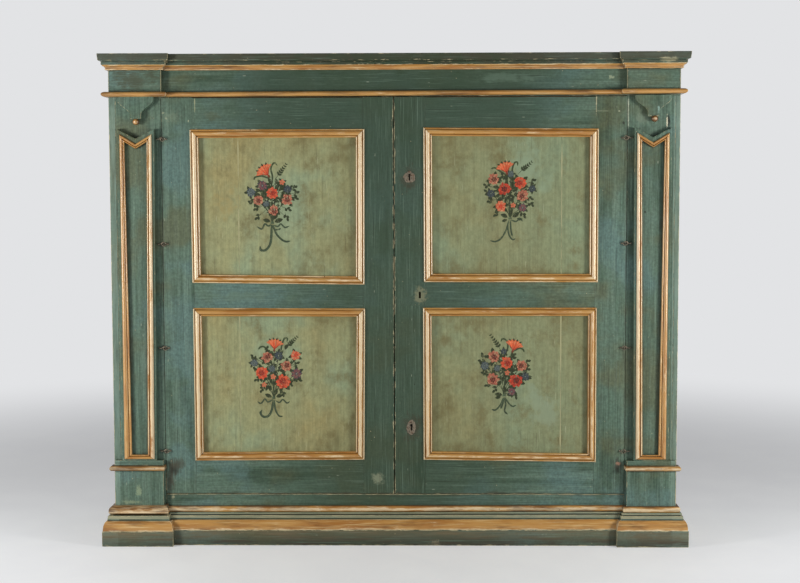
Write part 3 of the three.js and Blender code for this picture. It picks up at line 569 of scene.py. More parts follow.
# %% Softening a surface
def age_surface(work, depth, name):
    """Presses a surface in by up to depth, never out, in slow uneven waves."""
    start = Vector(board_start(name))
    work.normal_update()
    for point in work.verts:
        slow = 0.5 + 0.5 * noise.noise(point.co * 9 + start)
        quick = 0.5 + 0.5 * noise.noise(point.co * 55 + start)
        point.co -= point.normal * depth * (0.65 * slow + 0.35 * quick)


# %% Skins and finished meshes
def face_out(work):
    bmesh.ops.recalc_face_normals(work, faces=work.faces)


def skin(work, rings, other_way=False):
    """Faces between each ring of points and the next."""
    for near, far in zip(rings, rings[1:]):
        for i in range(len(near)):
            j = (i + 1) % len(near)
            corners = (near[i], near[j], far[j], far[i])
            work.faces.new((near[i], far[i], far[j], near[j]) if other_way else corners)


def fill_ring(work, ring):
    """Closes a bent ring with triangles."""
    bmesh.ops.triangle_fill(work, edges=[e for e in work.edges if all(v in ring for v in e.verts)])


def finished_mesh(name, work):
    """The mesh that was being worked on."""
    mesh = bpy.data.meshes.new(name)
    work.to_mesh(mesh)
    work.free()
    return mesh


# %% Putting a piece in its place
arris_angle = radians(38)
frame_coat, gold_coat = (frame_finish, "frame_paint"), (gold_finish, "gold_paint")
wood_coat, iron_coat = (wood_finish, "raw_wood"), (iron_finish, "iron")
one_side_coat = ([frame_finish, wood_finish], "frame_paint")
panel_coat = ([panel_finish, wood_finish], "panel_paint")


def add_piece(name, mesh, body, coat, stands_for=()):
    """Links a mesh as a piece that rides on a body, with its coat and the nodes it stands for."""
    finishes, slot = coat
    piece = bpy.data.objects.new(name, mesh)
    into_scene(piece)
    for finish in finishes if isinstance(finishes, list) else [finishes]:
        mesh.materials.append(finish)
    mesh.polygons.foreach_set("use_smooth", [True] * len(mesh.polygons))
    mesh.set_sharp_from_angle(angle=arris_angle)
    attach(piece, body)
    if stands_for:
        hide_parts(*stands_for)
    return piece


# %% [markdown]
# ## Boards
# A board starts as a box. Its arrises are rounded, then it is cut across close to each edge, so that wear
# can fade within a few millimetres, and at a hand's width along its length, so that the wood can wave. One
# side may be bare: painters never reached the back.

# %% Making a board
arris_round, cut_pitch = 0.0012, 0.07
edge_cuts = (0.0032, 0.012)


def cut_places(low, high, along):
    """Where a board is cut across one of its directions."""
    length = high - low
    places = {low + cut for cut in edge_cuts if cut < length * 0.45}
    places |= {high - cut for cut in edge_cuts if cut < length * 0.45}
    steps = max(1, round(length / cut_pitch)) if along else 1
    places |= {low + length * i / steps for i in range(1, steps)}
    return sorted(places)


def board_mesh(name, low, high, grain_axis, round_off=arris_round, wave=0.0003, bare=None):
    low, high = Vector(low), Vector(high)
    work = bmesh.new()
    bmesh.ops.create_cube(work, size=1)
    bmesh.ops.scale(work, vec=high - low, verts=work.verts)
    bmesh.ops.translate(work, vec=(low + high) / 2, verts=work.verts)
    bmesh.ops.bevel(work, geom=work.edges[:], offset=round_off, segments=2, profile=0.6, affect="EDGES")
    for axis in range(3):
        normal = Vector([float(i == axis) for i in range(3)])
        for place in cut_places(low[axis], high[axis], axis == grain_axis):
            bmesh.ops.bisect_plane(work, geom=work.verts[:] + work.edges[:] + work.faces[:],
                plane_co=normal * place, plane_no=normal)
    age_surface(work, wave, name)
    if bare is not None:
        for face in work.faces:
            face.material_index = int(face.normal.dot(bare) > 0.7)
    mesh = finished_mesh(name, work)
    carry_board_values(mesh, name, low, high, grain_axis)
    return mesh


def board(name, low, high, grain_axis, body, coat, stands_for=(), **how):
    mesh = board_mesh(name, low, high, grain_axis, **how)
    return add_piece(name, mesh, body, coat, stands_for)


def change_value(piece, name, change):
    """Replaces a value on the points of a piece by what a function makes of it."""
    field = piece.data.attributes[name].data
    old = np.empty(len(field), np.float32)
    field.foreach_get("value", old)
    field.foreach_set("value", change(old).astype(np.float32))


def calm_near(piece, axis, place, reach, share=0.75):
    """Takes away most wear and grime near a plane, where a piece lies level with its neighbour."""
    near = fade(abs(points_of(piece.data)[:, axis] - place), reach)
    for name in ("worn", "grime"):
        change_value(piece, name, lambda old: old * (1 - share * near))


def rub_near(piece, axis, place, reach, strength, deep=None):
    """Wears and cleans a piece near a plane, if told so only near its front."""
    places = points_of(piece.data)
    near = fade(abs(places[:, axis] - place), reach)
    if deep:
        near *= fade(places[:, 1] - places[:, 1].min(), deep)
    change_value(piece, "worn", lambda old: np.maximum(old, near * strength))
    change_value(piece, "grime", lambda old: old * (1 - near))

towards_back = Vector((0, 1, 0))
print("boards are cut every", cut_pitch, "m along the grain")

# %% [markdown]
# ## The carcass
# The front frame is two stiles and a bottom rail, with the frieze above, painted in front and bare behind.
# Their places are read from the frame. Each stile shows a fine upright joint near the corner, where the
# edge of the side board comes to the front.

# %% Front frame
body_low, body_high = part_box("back_panel")
left_stile, right_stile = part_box("left_front_stile"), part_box("right_front_stile")
face_y, frame_back_y = left_stile[0].y, left_stile[1].y
side_edge = {"left": 0.0265, "right": 0.0195}
both_sides = ((-1, "left"), (1, "right"))
for side, word in both_sides:
    low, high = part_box(f"{word}_front_stile")
    joint = high.x - side_edge[word] if side > 0 else low.x + side_edge[word]
    for part, x0, x1 in (("a", low.x, joint), ("b", joint, high.x)):
        piece = board(f"{word}_stile_{part}", (x0, low.y, low.z), (x1, high.y, high.z), 2, "case", one_side_coat,
            [f"{word}_front_stile"] if part == "a" else (), bare=towards_back)
        calm_near(piece, 0, joint, 0.06, 1.0)
        rub_near(piece, 0, joint, 0.003, 0.95)
        rub_near(piece, 0, side * body_high.x, 0.004, 1.4, deep=0.012)
        calm_near(piece, 0, high.x if side < 0 else low.x, 0.02, 0.5)

opening_left, opening_right = left_stile[1].x, right_stile[0].x
rail_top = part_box("bottom_rail")[1].z
foot_rail = board("foot_rail", (opening_left, face_y, 0), (opening_right, frame_back_y, rail_top), 0, "case",
    one_side_coat, ["bottom_rail"], bare=towards_back)
rub_near(foot_rail, 2, rail_top, 0.0035, 1.35)
print("opening is", round(opening_right - opening_left, 4), "m wide")

# %% Frieze, its two blocks and the batten that stops the doors
frieze_low, frieze_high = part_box("frieze_board")
string_low, string_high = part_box("string_moulding")
cornice_low, cornice_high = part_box("cornice")
opening_top = string_low.z
stop_behind = 0.014
block_front_y = frieze_low.y
board("frieze", (body_low.x, face_y, opening_top), (body_high.x, frame_back_y, frieze_high.z), 0, "case",
    one_side_coat, ["frieze_board"], bare=towards_back)
stop_batten = board("door_stop_batten", (body_low.x + 0.03, frame_back_y, opening_top - stop_behind),
    (body_high.x - 0.03, frieze_high.y, opening_top + 0.042), 0, "case", wood_coat)
print("frieze rises from", round(opening_top, 4), "to", round(frieze_high.z, 4))

# %% [markdown]
# ## Sides, back, top and shelves
# Behind the front there is plain joinery. Wide surfaces were nailed up from boards of whatever width the
# tree gave, so each is split at uneven places, always the same ones, with a hairline between the boards.

# %% Splitting a wide surface into boards
joint_gap = 0.0004


def board_row(name, low, high, across, grain_axis, count, body, coat, stands_for=(), gap=joint_gap, **how):
    """Uneven boards side by side that fill a box between two corners."""
    chance = random.Random(name)
    widths = [chance.uniform(0.75, 1.25) for _ in range(count)]
    start, pieces = low[across], []
    for i, width in enumerate(widths):
        end = start + (high[across] - low[across]) * width / sum(widths)
        board_low, board_high = Vector(low), Vector(high)
        board_low[across] = start + (gap / 2 if i else 0)
        board_high[across] = end - (gap / 2 if i < count - 1 else 0)
        pieces.append(board(f"{name}_{i + 1}", board_low, board_high, grain_axis, body, coat,
            stands_for if i == 0 else (), **how))
        start = end
    return pieces


# %% Sides, painted outside and bare inside
for side, word in both_sides:
    low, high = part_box(f"{word}_side_board")
    board_row(f"{word}_side", low, high, 1, 2, 3, "case", one_side_coat, [f"{word}_side_board"],
        bare=Vector((-side, 0, 0)))

# %% Back, top, floor and shelves, all bare
back_boards = board_row("back_board", body_low, body_high, 0, 2, 11, "case", wood_coat, ["back_panel"], gap=-0.0008)
top_low, top_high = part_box("top_board")
board_row("top_plank", top_low, top_high, 1, 0, 3, "case", wood_coat, ["top_board"], gap=0.0009)
inside_left, inside_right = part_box("left_side_board")[1].x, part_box("right_side_board")[0].x
for shelf in ("bottom_board", "lower_shelf", "upper_shelf"):
    low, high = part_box(shelf)
    low.x, high.x = inside_left, inside_right
    planks = board_row(f"{shelf}_plank", low, high, 1, 0, 2, "case", wood_coat, [shelf])
    floor_plank = planks[0] if shelf == "bottom_board" else floor_plank
print("back has", len(back_boards), "boards")

# %% [markdown]
# ## Mouldings
# A moulding is a stick with one section all along. Cornice, string and base run along both sides and the
# front, and step forward over the corner blocks, so each is seven sticks with mitred ends. A section is
# written from the bottom up as points of height, projection, wear and grime. Each stretch between two
# corners of the plan becomes one closed stick. Old houses settle, so the string and the base are then
# tilted a little.

# %% Sections
def arc(start, end, hollow=False, steps=7):
    """A quarter or a round between two points, as (along, out) pairs on an ellipse."""
    (a0, b0), (a1, b1) = start, end
    turns = [pi / 2 * i / steps for i in range(steps + 1)]
    if hollow:
        return [(a0 + (a1 - a0) * sin(t), b0 + (b1 - b0) * (1 - cos(t))) for t in turns]
    return [(a0 + (a1 - a0) * (1 - cos(t)), b0 + (b1 - b0) * sin(t)) for t in turns]


def half_round(start, end, foot, proud, steps=12):
    """A half round: grimy where it meets its neighbours, worn on its crest."""
    rows = []
    for i in range(steps + 1):
        turn = pi * i / steps
        swell = sin(turn)
        along = (start + end) / 2 - cos(turn) * (end - start) / 2
        rows.append((along, foot + swell * (proud - foot), 0.8 * swell ** 6, 0.95 * (1 - swell) ** 1.4))
    return rows


def flat_rows(bottom, top, proud_below, proud_above, wear=0.65, soft=0.0012, grime=0.15):
    """A flat band with softened, worn arrises."""
    lean = (proud_above - proud_below) / (top - bottom)
    inner = [bottom + soft, bottom + 3 * soft, (bottom + top) / 2, top - 3 * soft, top - soft]
    wears = [wear, 0.25, 0.0, 0.25, wear]
    rows = [(bottom, proud_below - soft, wear, 0.5)]
    rows += [(z, proud_below + lean * (z - bottom), w, grime) for z, w in zip(inner, wears)]
    return rows + [(top, proud_above - soft, wear, 0.3)]


# %% From a section and a plan to sticks
stick_pitch, mitre_gap = 0.06, 0.00015


def stick(work, layers, start, end, rows, along_from, rubbed, dirt, end_wears):
    """Adds one closed stick between two mitred corners. start and end hold a point for each row, and
    end_wears says how far each mitre is worn; one that isn't worn holds dirt."""
    length = max((Vector(b) - Vector(a)).length for a, b in zip(start, end))
    steps = max(2, round(length / stick_pitch))
    shares = sorted({i / steps for i in range(steps + 1)} | {0.003 / length, 1 - 0.003 / length})
    shares = [s for s in shares if 0 <= s <= 1]
    grid = []
    for share in shares:
        ring = []
        for (a, b), (z, proud, wear, grime, across) in zip(zip(start, end), rows):
            a, b = Vector(a), Vector(b)
            pull = (b - a).normalized() * mitre_gap if (b - a).length > 4 * mitre_gap else Vector()
            point = work.verts.new((a + pull).lerp(b - pull, share))
            at_end = share in (shares[0], shares[-1])
            end_wear = end_wears[share > 0.5] if at_end else 0.0
            point[layers["worn"]] = max(wear * (1 + rubbed) + rubbed / 3, end_wear)
            point[layers["grime"]] = max(grime * dirt, 0.9 * (1 - end_wear)) if at_end else grime * dirt
            point[layers["grain"]] = Vector((along_from + length * share, across, proud))
            ring.append(point)
        grid.append(ring)
    skin(work, grid, True)
    work.faces.new(grid[0])
    work.faces.new(grid[-1][::-1])
    return length


def stick_layers(work):
    return {"worn": work.verts.layers.float.new("worn"), "grime": work.verts.layers.float.new("grime"),
        "grain": work.verts.layers.float_vector.new("grain")}


def run_of_sticks(name, corner_rings, rows, wave=0.00018, closed=False, rubs_and_sheen=None, dirts=None, arrises=()):
    """Sticks between neighbouring rings of corner points, joined in one mesh. The rubs say how far each stick is
    painted paler or darker, partly hand wear and partly painted highlight and painted shade from the side lamps;
    dirts say how much of its grime stayed, and the arrises, which stand out, are chipped."""
    work = bmesh.new()
    layers = stick_layers(work)
    along = board_start(name)[0]
    count = len(corner_rings)
    for i in range(count if closed else count - 1):
        j = (i + 1) % count
        start, end = corner_rings[i], corner_rings[j]
        end_wears = [1.1 if corner in arrises else 0.3 for corner in (i, j)]
        along += 1.7 + stick(work, layers, start, end, rows, along, rubs_and_sheen[i] if rubs_and_sheen else 0.0,
            dirts[i] if dirts else 1.0, end_wears)
    face_out(work)
    age_surface(work, wave, name)
    return finished_mesh(name, work)


def with_across(rows):
    """Adds to each row how far round the section it lies."""
    across, done = 0.0, []
    for i, row in enumerate(rows):
        if i:
            across += hypot(row[0] - rows[i - 1][0], row[1] - rows[i - 1][1])
        done.append((*row, across))
    return done


# %% The plan of the cupboard's front
base_low, base_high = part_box("base_moulding")
pilaster_low, pilaster_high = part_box("left_pilaster")
body_half = body_high.x
block_inset = 0.006
block_break = face_y - base_low.y - (base_high.x - body_half) - block_inset
block_outer = body_half - block_inset
block_inner = opening_right - 0.0065
pedestal_inner = opening_right + 0.0055


def front_plan(inner_edge):
    """Corner places at a given reach beyond the body: both sides, both blocks and the middle."""
    def corners(proud):
        reach = block_inset + proud
        out, inn = block_outer + reach, inner_edge - reach
        block_y, middle_y = face_y - block_break - reach, face_y - reach
        right = [(inn, middle_y), (inn, block_y), (out, block_y), (out, body_high.y)]
        return [(-x, y) for x, y in right[::-1]] + right
    return corners


def against_body(x, y):
    """The nearest place on the body behind a place on a moulding."""
    return max(-body_half, min(body_half, x)), max(y, face_y)


def front_moulding(name, rows, coat, stands_for=(), corners=slice(None), inner_edge=pedestal_inner):
    """A moulding round the sides and front, or between some of its corners, closed against the body."""
    rows = with_across(rows)
    plan = front_plan(inner_edge)
    outer = [[(x, y, row[0]) for x, y in plan(row[1])] for row in rows]
    back_rows = [(rows[-1][0], 0, 0, 1, rows[-1][4] + 0.02), (rows[0][0], 0, 0, 1, rows[-1][4] + 0.04)]
    inner = [[(*against_body(x, y), row[0]) for x, y, _ in outer[0]] for row in back_rows]
    rings = [[line[corner] for line in outer + inner] for corner in range(len(outer[0]))][corners]
    standing_out = [i for i, corner in enumerate(range(len(outer[0]))[corners]) if corner in (1, 2, 5, 6)]
    mesh = run_of_sticks(name, rings, rows + back_rows, arrises=standing_out)
    return add_piece(name, mesh, "case", coat, stands_for)


def tilt(piece, at_left, at_right, foot=0.0):
    """Lets a long piece lie out of level: each end goes down, or up, by so much. What stands on the floor
    stays there, and below the height of its foot the lift grows little by little."""
    places = points_of(piece.data)
    share = np.clip((places[:, 0] + body_half) / (2 * body_half), 0, 1)
    held = np.clip(places[:, 2] / foot, 0, 1) if foot else 1.0
    places[:, 2] += (at_left + (at_right - at_left) * share) * held
    piece.data.vertices.foreach_set("co", places.ravel())

print("block break is", round(block_break, 4), "m")

# %% [markdown]
# ### Cornice
# Bottom up: a gilt hollow between two narrow gilt lips, a green fillet, a thin dark groove, and a broad
# green crown that dust has turned grey-brown, with a chipped top edge.

# %% Cornice
lip_rise, cove_rise, cove_proud = 0.0045, 0.019, 0.0125
fillet_top, groove_top = 0.031, 0.035
crown_proud = cornice_high.x - body_half

z0, z1 = cornice_low.z, cornice_high.z
cove = [(z0, 0.003, 0.4, 0.7), (z0 + 0.0006, 0.0048, 0.6, 0.1), (z0 + lip_rise - 0.0006, 0.005, 0.6, 0.1),
    (z0 + lip_rise, 0.003, 0.2, 0.6)]
cove += [(z, out, 0.0, 0.5) for z, out in arc((z0 + lip_rise + 0.0004, 0.003), (z0 + cove_rise - 0.004, cove_proud),
    hollow=True)]
cove += [(z0 + cove_rise - 0.0036, cove_proud + 0.0012, 0.4, 0.1), (z0 + cove_rise, cove_proud + 0.0012, 0.8, 0.2)]
front_moulding("cornice_gilt_hollow", cove, gold_coat, ["cornice"], inner_edge=block_inner)
fillet = flat_rows(z0 + cove_rise, z0 + fillet_top, 0.017, 0.017, grime=1.0)
groove = [(z0 + fillet_top, 0.013, 0.0, 1.0), (z0 + groove_top, 0.013, 0.0, 1.0)]
crown = flat_rows(z0 + groove_top, z1, crown_proud - 0.003, crown_proud, soft=0.0016, grime=1.3)
front_moulding("cornice_crown", fillet + groove + crown, frame_coat, inner_edge=block_inner)

# %% String moulding and frieze blocks
string_proud = string_high.x - body_half
# Painted shade with dirt: the string is darker all along, as a level round that the side lamps light less, and its
# crest keeps little wear.
string_rows = [(z, out, wear * 0.3, max(grime, 0.47)) for z, out, wear,
    grime in half_round(string_low.z + 0.001, string_high.z - 0.0005, 0.003, string_proud)]
string_round = front_moulding("string_round", string_rows, gold_coat, ["string_moulding"], inner_edge=block_inner)
tilt(string_round, -0.0035, 0.0025)
for side, word in both_sides:
    xs = sorted((side * block_inner, side * block_outer))
    block = board(f"{word}_frieze_block", (xs[0], block_front_y, string_high.z - 0.006),
        (xs[1], face_y, cornice_low.z), 0, "case", frame_coat)
    for x in xs:
        rub_near(block, 0, x, 0.0028, 1.5, deep=0.01)

# %% [markdown]
# ### Base
# The base is the most battered part. Bottom up: a plinth that mops have scoured grey-brown, a gilt band
# that rounds back, two brown-green steps with a dark open joint between them, and a gilt bead. Over the
# left block the bead is a later, thicker one that has lifted and shows a black gap.

# %% Base
plinth_top, band_top, step_top, joint_top, bead_foot = 0.062, 0.1, 0.1165, 0.121, 0.1275
plinth_proud = base_high.x - body_half
lifted_gap, lifted_foot = 0.1195, 0.124
base_lift = (0.0, 0.0055, 0.05)

plinth = flat_rows(0.0005, plinth_top, plinth_proud - 0.0002, plinth_proud - 0.0002, wear=1.0, soft=0.0017)
front_moulding("plinth", plinth, frame_coat, ["base_moulding"])
band = [(plinth_top + z, out, 0.9 * (i in (0, 7)) + 0.15, 0.35) for i, (z,
    out) in enumerate(arc((0, 0.0365), (band_top - plinth_top, 0.023), hollow=True))]
front_moulding("base_gilt_band", band, gold_coat)
lower_step = [(band_top, 0.02, 0.0, 1.3), (band_top + 0.004, 0.0205, 0.1, 1.0),
    (band_top + 0.007, 0.0203, 0.1, -0.6), (step_top - 0.003, 0.0197, 0.2, -0.8), (step_top, 0.019, 1.0, -0.8)]
front_moulding("base_lower_step", lower_step, frame_coat, corners=slice(3, None))
dark_joint = [(step_top, 0.011, 0.0, 2.0), (joint_top, 0.011, 0.0, 2.0)]
upper_step = [(joint_top, 0.015, 0.3, 1.0), (joint_top + 0.0015, 0.0155, 0.2, -0.6),
    (bead_foot - 0.001, 0.0152, 0.2, -0.6), (bead_foot, 0.0145, 0.6, 0.0)]
front_moulding("base_upper_step", dark_joint + upper_step, frame_coat, corners=slice(3, None))
bead = [(z, out, wear + 0.45, grime * 0.6 + 0.45) for z, out, wear, grime in half_round(bead_foot - 0.001,
    base_high.z - 0.001, 0.004, 0.01)]
front_moulding("base_gilt_bead", bead, gold_coat, corners=slice(3, None))

block_step = [(band_top, 0.02, 0.0, 1.3), (band_top + 0.005, 0.0205, 0.1, 1.0),
    (band_top + 0.008, 0.0203, 0.1, -0.6), (lifted_gap - 0.003, 0.0193, 0.3, -0.9), (lifted_gap, 0.0185, 1.1, -0.9)]
gap_rows = [(lifted_gap + 0.0002, -0.008, 0.0, 3.0), (lifted_foot - 0.0002, -0.01, 0.0, 3.0)]
front_moulding("lifted_block_step", block_step + gap_rows, frame_coat, corners=slice(0, 4))
lifted = [(lifted_foot, 0.009, 0.2, 1.8), (lifted_foot + 0.0045, 0.0135, 0.4, 1.4),
    (lifted_foot + 0.0065, 0.016, 1.0, 0.2)]
lifted += [(z, out, 0.95, 0.75) for z, out in ((0.1385, 0.0165), (0.1465, 0.0155), (0.1525, 0.0115),
    (0.1575, 0.004), (0.159, -0.0035))]
front_moulding("lifted_gilt_bead", lifted, gold_coat, corners=slice(0, 4))
for name in ("plinth", "base_gilt_band", "base_lower_step", "base_upper_step", "base_gilt_bead",
        "lifted_block_step", "lifted_gilt_bead"):
    tilt(bpy.data.objects[name], *base_lift)
print("base is", round(base_high.z, 4), "m high")

# %% [markdown]
# ### Pedestals
# Under each pilaster stands a block with a gilt round near its top and a flat cap above it, no wider than
# the block. The same sticks make it, on a plan of one block: inner side, front, outer side.

# %% Pedestals
die_rise, torus_rise = 0.146, 0.021
pedestal_proud, torus_proud, inner_share = 0.022, 0.018, 8 / 18


def pedestal_moulding(name, rows, side, coat, stands_for=()):
    rows = with_across(rows)
    back_rows = [(rows[-1][0], None, 0, 1, rows[-1][4] + 0.02), (rows[0][0], None, 0, 1, rows[-1][4] + 0.04)]
    rings = [[], [], [], []]
    for z, proud, *_ in rows:
        x0 = side * (pedestal_inner - proud * inner_share)
        x1 = side * (block_outer + proud)
        y = face_y - pedestal_proud - proud
        for ring, place in zip(rings, ((x0, face_y), (x0, y), (x1, y), (x1, face_y))):
            ring.append((*place, z))
    x0, x1 = side * pedestal_inner, side * block_outer
    for row in back_rows:
        for ring, x in zip(rings, (x0, x0, x1, x1)):
            ring.append((x, face_y, row[0]))
    rows = rows + [(z, 0, w, g, a) for z, _, w, g, a in back_rows]
    mesh = run_of_sticks(name, rings, rows, arrises=(1, 2))
    return add_piece(name, mesh, "case", coat, stands_for)

pedestal_bottom, pedestal_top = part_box("left_pedestal")[0].z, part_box("left_pedestal")[1].z
for side, word in both_sides:
    die_top = pedestal_bottom + die_rise
    torus_top = die_top + torus_rise
    die = pedestal_moulding(f"{word}_pedestal_die", flat_rows(pedestal_bottom, die_top, 0.0, 0.0), side, frame_coat,
        [f"{word}_pedestal"])
    upright_grain = np.roll(points_of(die.data), 1, axis=1) + board_start(die.name)
    die.data.attributes["grain"].data.foreach_set("vector", upright_grain.astype(np.float32).ravel())
    bead = [(z, out, wear + 0.35, grime * 0.5 + 0.6) for z, out, wear, grime in half_round(die_top, torus_top,
        0.008, torus_proud)]
    pedestal_moulding(f"{word}_pedestal_round", bead, side, gold_coat)
    pedestal_moulding(f"{word}_pedestal_cap", flat_rows(torus_top, pedestal_top, 0.0, 0.0), side, frame_coat)
print("pedestals rise to", round(pedestal_top, 4))

# %% [markdown]
# ## Pilasters
# Each pilaster is a flat plate, a little narrower at its foot, whose head is cut in a V, with a sunk field
# framed by a gilt moulding that repeats the V: a round outside and a small bead inside. All outlines have
# the same five corners, so the plate is a set of nested rings, from its back edge over the arris and down
# into the field.

# %% Pilaster outlines
plate_notch, strip_inset, strip_width, strip_notch = 0.038, 0.01, 0.019, 0.039
strip_top_inset, strip_foot, field_sink, strip_proud = 0.02, 0.005, 0.01, 0.008
strip_round, strip_bead_proud = 0.0125, 0.0045
plate_front_y = face_y - 0.022
plate_taper, strip_taper, field_taper = (0.008, 0.0), (0.006, 0.0), (0.014, 0.012)


def notched(side, half, bottom, top, notch, taper):
    """The outline of a pilaster on one side. Its foot is narrower by the first part of the taper on the
    side of the doors, and by the second on the far side."""
    left, right = taper if side > 0 else taper[::-1]
    return [(left - half, bottom), (half - right, bottom), (half, top), (0, top - notch), (-half, top)]

plate_half = (pilaster_high.x - pilaster_low.x) / 2
plate_bottom, plate_top = pilaster_low.z, pilaster_high.z
outer_half = plate_half - strip_inset
inner_half = outer_half - strip_width
strip_bottom, strip_top = plate_bottom + strip_foot, plate_top - strip_top_inset
inner_notch = strip_notch * inner_half / outer_half
field_bottom, field_top = strip_bottom + strip_width, strip_top - strip_width - (strip_notch - inner_notch)
print("pilaster plate is", round(2 * plate_half, 4), "m wide")


# %% Plate, field and gilt strip
def plate_mesh(name, side, middle_x):
    """The plate with its sunk field, softened along its front arrises."""
    work = bmesh.new()
    layers = stick_layers(work)
    soft, front, sunk = 0.0015, plate_front_y, plate_front_y + field_sink

    def plate(inset):
        return notched(side, plate_half - inset, plate_bottom + inset, plate_top - inset * 1.6, plate_notch,
            plate_taper)

    def field(inset):
        return notched(side, inner_half - inset, field_bottom + inset, field_top - inset * 1.4,
            inner_notch * (1 - inset / inner_half), field_taper)

    rings = []
    for outline, y, wear, grime in ((plate(0), face_y, 0.0, 0.8), (plate(0), front + soft + 0.003, 0.1, 0.3),
            (plate(0), front + soft, 0.6, 0.1), (plate(soft), front, 0.6, 0.1),
            (plate(soft + 0.003), front, 0.0, 0.1), (field(0), front, 0.0, 0.8), (field(0), sunk, 0.0, 1.0),
            (field(0.006), sunk, 0.0, 0.6), (field(0.016), sunk, 0.0, 0.0)):
        loop = [Vector((middle_x + x, y, z)) for x, z in outline]
        ring = []
        for i in range(5):
            steps = 16 if i in (1, 4) else 4
            ring += [work.verts.new(loop[i].lerp(loop[(i + 1) % 5], step / steps)) for step in range(steps)]
        for point in ring:
            point[layers["worn"]], point[layers["grime"]] = wear, grime
        rings.append(ring)
    skin(work, rings)
    fill_ring(work, rings[-1])
    fill_ring(work, rings[0])
    face_out(work)
    start = Vector(board_start(name))
    for point in work.verts:
        point[layers["grain"]] = Vector((point.co.z, point.co.x, point.co.y)) + start
    age_surface(work, 0.0003, name)
    return finished_mesh(name, work)


def gilt_strip(name, side, middle_x):
    """A round and a bead between the strip's outline and the field's, mitred at five corners."""
    rings = [[] for _ in range(5)]
    strip_outline = notched(side, outer_half, strip_bottom, strip_top, strip_notch, strip_taper)
    field_outline = notched(side, inner_half, field_bottom, field_top, inner_notch, field_taper)
    rows = [(along, out, max(wear, 0.7 * (i < 5)), grime * 0.5 if i < 5 else grime) for i,
        (along, out, wear, grime) in enumerate(half_round(0.0, strip_round, -0.0002, strip_proud, 10))]
    rows += half_round(strip_round + 0.0006, strip_width, -0.0002, strip_bead_proud, 7)
    for distance, out, *_ in rows:
        share = distance / strip_width
        for corner in range(5):
            (x0, z0), (x1, z1) = strip_outline[corner], field_outline[corner]
            x, z = x0 + (x1 - x0) * share, z0 + (z1 - z0) * share
            rings[corner].append((middle_x + x, plate_front_y - out, z))
    # Painted highlight and painted shade: on each pilaster the upright next to the doors is painted paler and the
    # outer one darker, as the side lamps light them.
    rubs_and_sheen = (-0.5, -0.3, -0.8, -0.8, 0.5) if side > 0 else (-0.5, 0.35, -0.8, -0.8, -0.6)
    return run_of_sticks(name, rings, with_across(rows), closed=True, rubs_and_sheen=rubs_and_sheen)

for side, word in both_sides:
    low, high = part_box(f"{word}_pilaster")
    middle_x = (low.x + high.x) / 2
    name = f"{word}_pilaster_plate"
    add_piece(name, plate_mesh(name, side, middle_x), "case", frame_coat, [f"{word}_pilaster"])
    name = f"{word}_pilaster_gilt"
    add_piece(name, gilt_strip(name, side, middle_x), "case", gold_coat)

# %% [markdown]
# ## Drops
# Under the string hangs a small tongue cut in an ogee, with a gilt ball at its tip. The tongue is an
# outline that is pushed back to the stile and softened in front. Its arris is worn paler, most at the neck and
# along its outer ogee, which faces its near lamp, where the paler edge is also a painted highlight. The ball
# is a sphere with a paler front, partly wear and partly a painted highlight, and a darker rim of painted
# shade.

# %% Drops
drop_falls, ball_radius = {"left": 0.088, "right": 0.083}, 0.0138
ogee_from, ogee_to, neck_share = 0.15, 0.8, 0.31
ball_hangs = {"left": (0.0015, -0.0065), "right": (0.0055, 0.0)}
# How much paler each ball's front is: wear and a painted highlight, the right ball brighter.
ball_rubs_and_sheen = {"left": 0.6, "right": 1.4}


def tongue_outline(half, top, fall):
    """Right side of the tongue from the top down: straight, then an ogee to a narrow neck."""
    points = [(half, top)]
    for i in range(25):
        down = ogee_from + (ogee_to - ogee_from) * i / 24
        wide = neck_share + (1 - neck_share) * (0.5 + 0.5 * cos(pi * i / 24))
        points.append((half * wide, top - fall * down))
    return points + [(half * (neck_share - 0.01), top - fall)]


def tongue_mesh(name, middle_x, low, high, fall):
    half, top = (high.x - low.x) / 2, high.z
    front = face_y - 0.02
    work = bmesh.new()
    layers = stick_layers(work)
    rings = []
    for inset, y, wear in ((0.0, face_y, 0.1), (0.0, front + 0.004, 0.1), (0.0, front + 0.0015, 0.85),
            (0.0015, front, 0.85), (0.003, front, 0.0), (0.012, front, 0.0)):
        right = tongue_outline(half - inset, top, fall - inset)
        outline = right + [(-x, z) for x, z in right[::-1]]
        ring = [work.verts.new((middle_x + x, y, z)) for x, z in outline]
        for point in ring:
            down = (top - point.co.z) / fall
            at_neck = max(0.0, min(1.0, (down - 0.55) / 0.25)) * (down < 0.985)
            # Painted highlight with wear: the outer ogee, which faces the near lamp, is painted paler.
            away = (point.co.x - middle_x) * middle_x > 0 and down > ogee_from
            point[layers["worn"]], point[layers["grime"]] = wear * (0.45 + 0.55 * max(at_neck, away)), 0.4
            point[layers["grain"]] = Vector((point.co.z, point.co.x, point.co.y))
        rings.append(ring)
    skin(work, rings)
    fill_ring(work, rings[0])
    fill_ring(work, rings[-1])
    face_out(work)
    return finished_mesh(name, work)


def ball_mesh(name, centre, radius, rubbed):
    work = bmesh.new()
    bmesh.ops.create_uvsphere(work, u_segments=28, v_segments=18, radius=radius)
    bmesh.ops.translate(work, vec=centre, verts=work.verts)
    age_surface(work, 0.0012, name)
    mesh = finished_mesh(name, work)
    places = points_of(mesh)
    # Painted highlight and painted shade: the front paler, partly wear, the rim and back darker.
    forward = np.clip((centre.y - places[:, 1]) / radius, 0, 1)
    carry(mesh, "worn", rubbed * forward ** 4)
    carry(mesh, "grime", np.clip(1.6 - forward * 1.2, 0.5, 1.3))
    carry(mesh, "grain", places + board_start(name), "FLOAT_VECTOR")
    return mesh

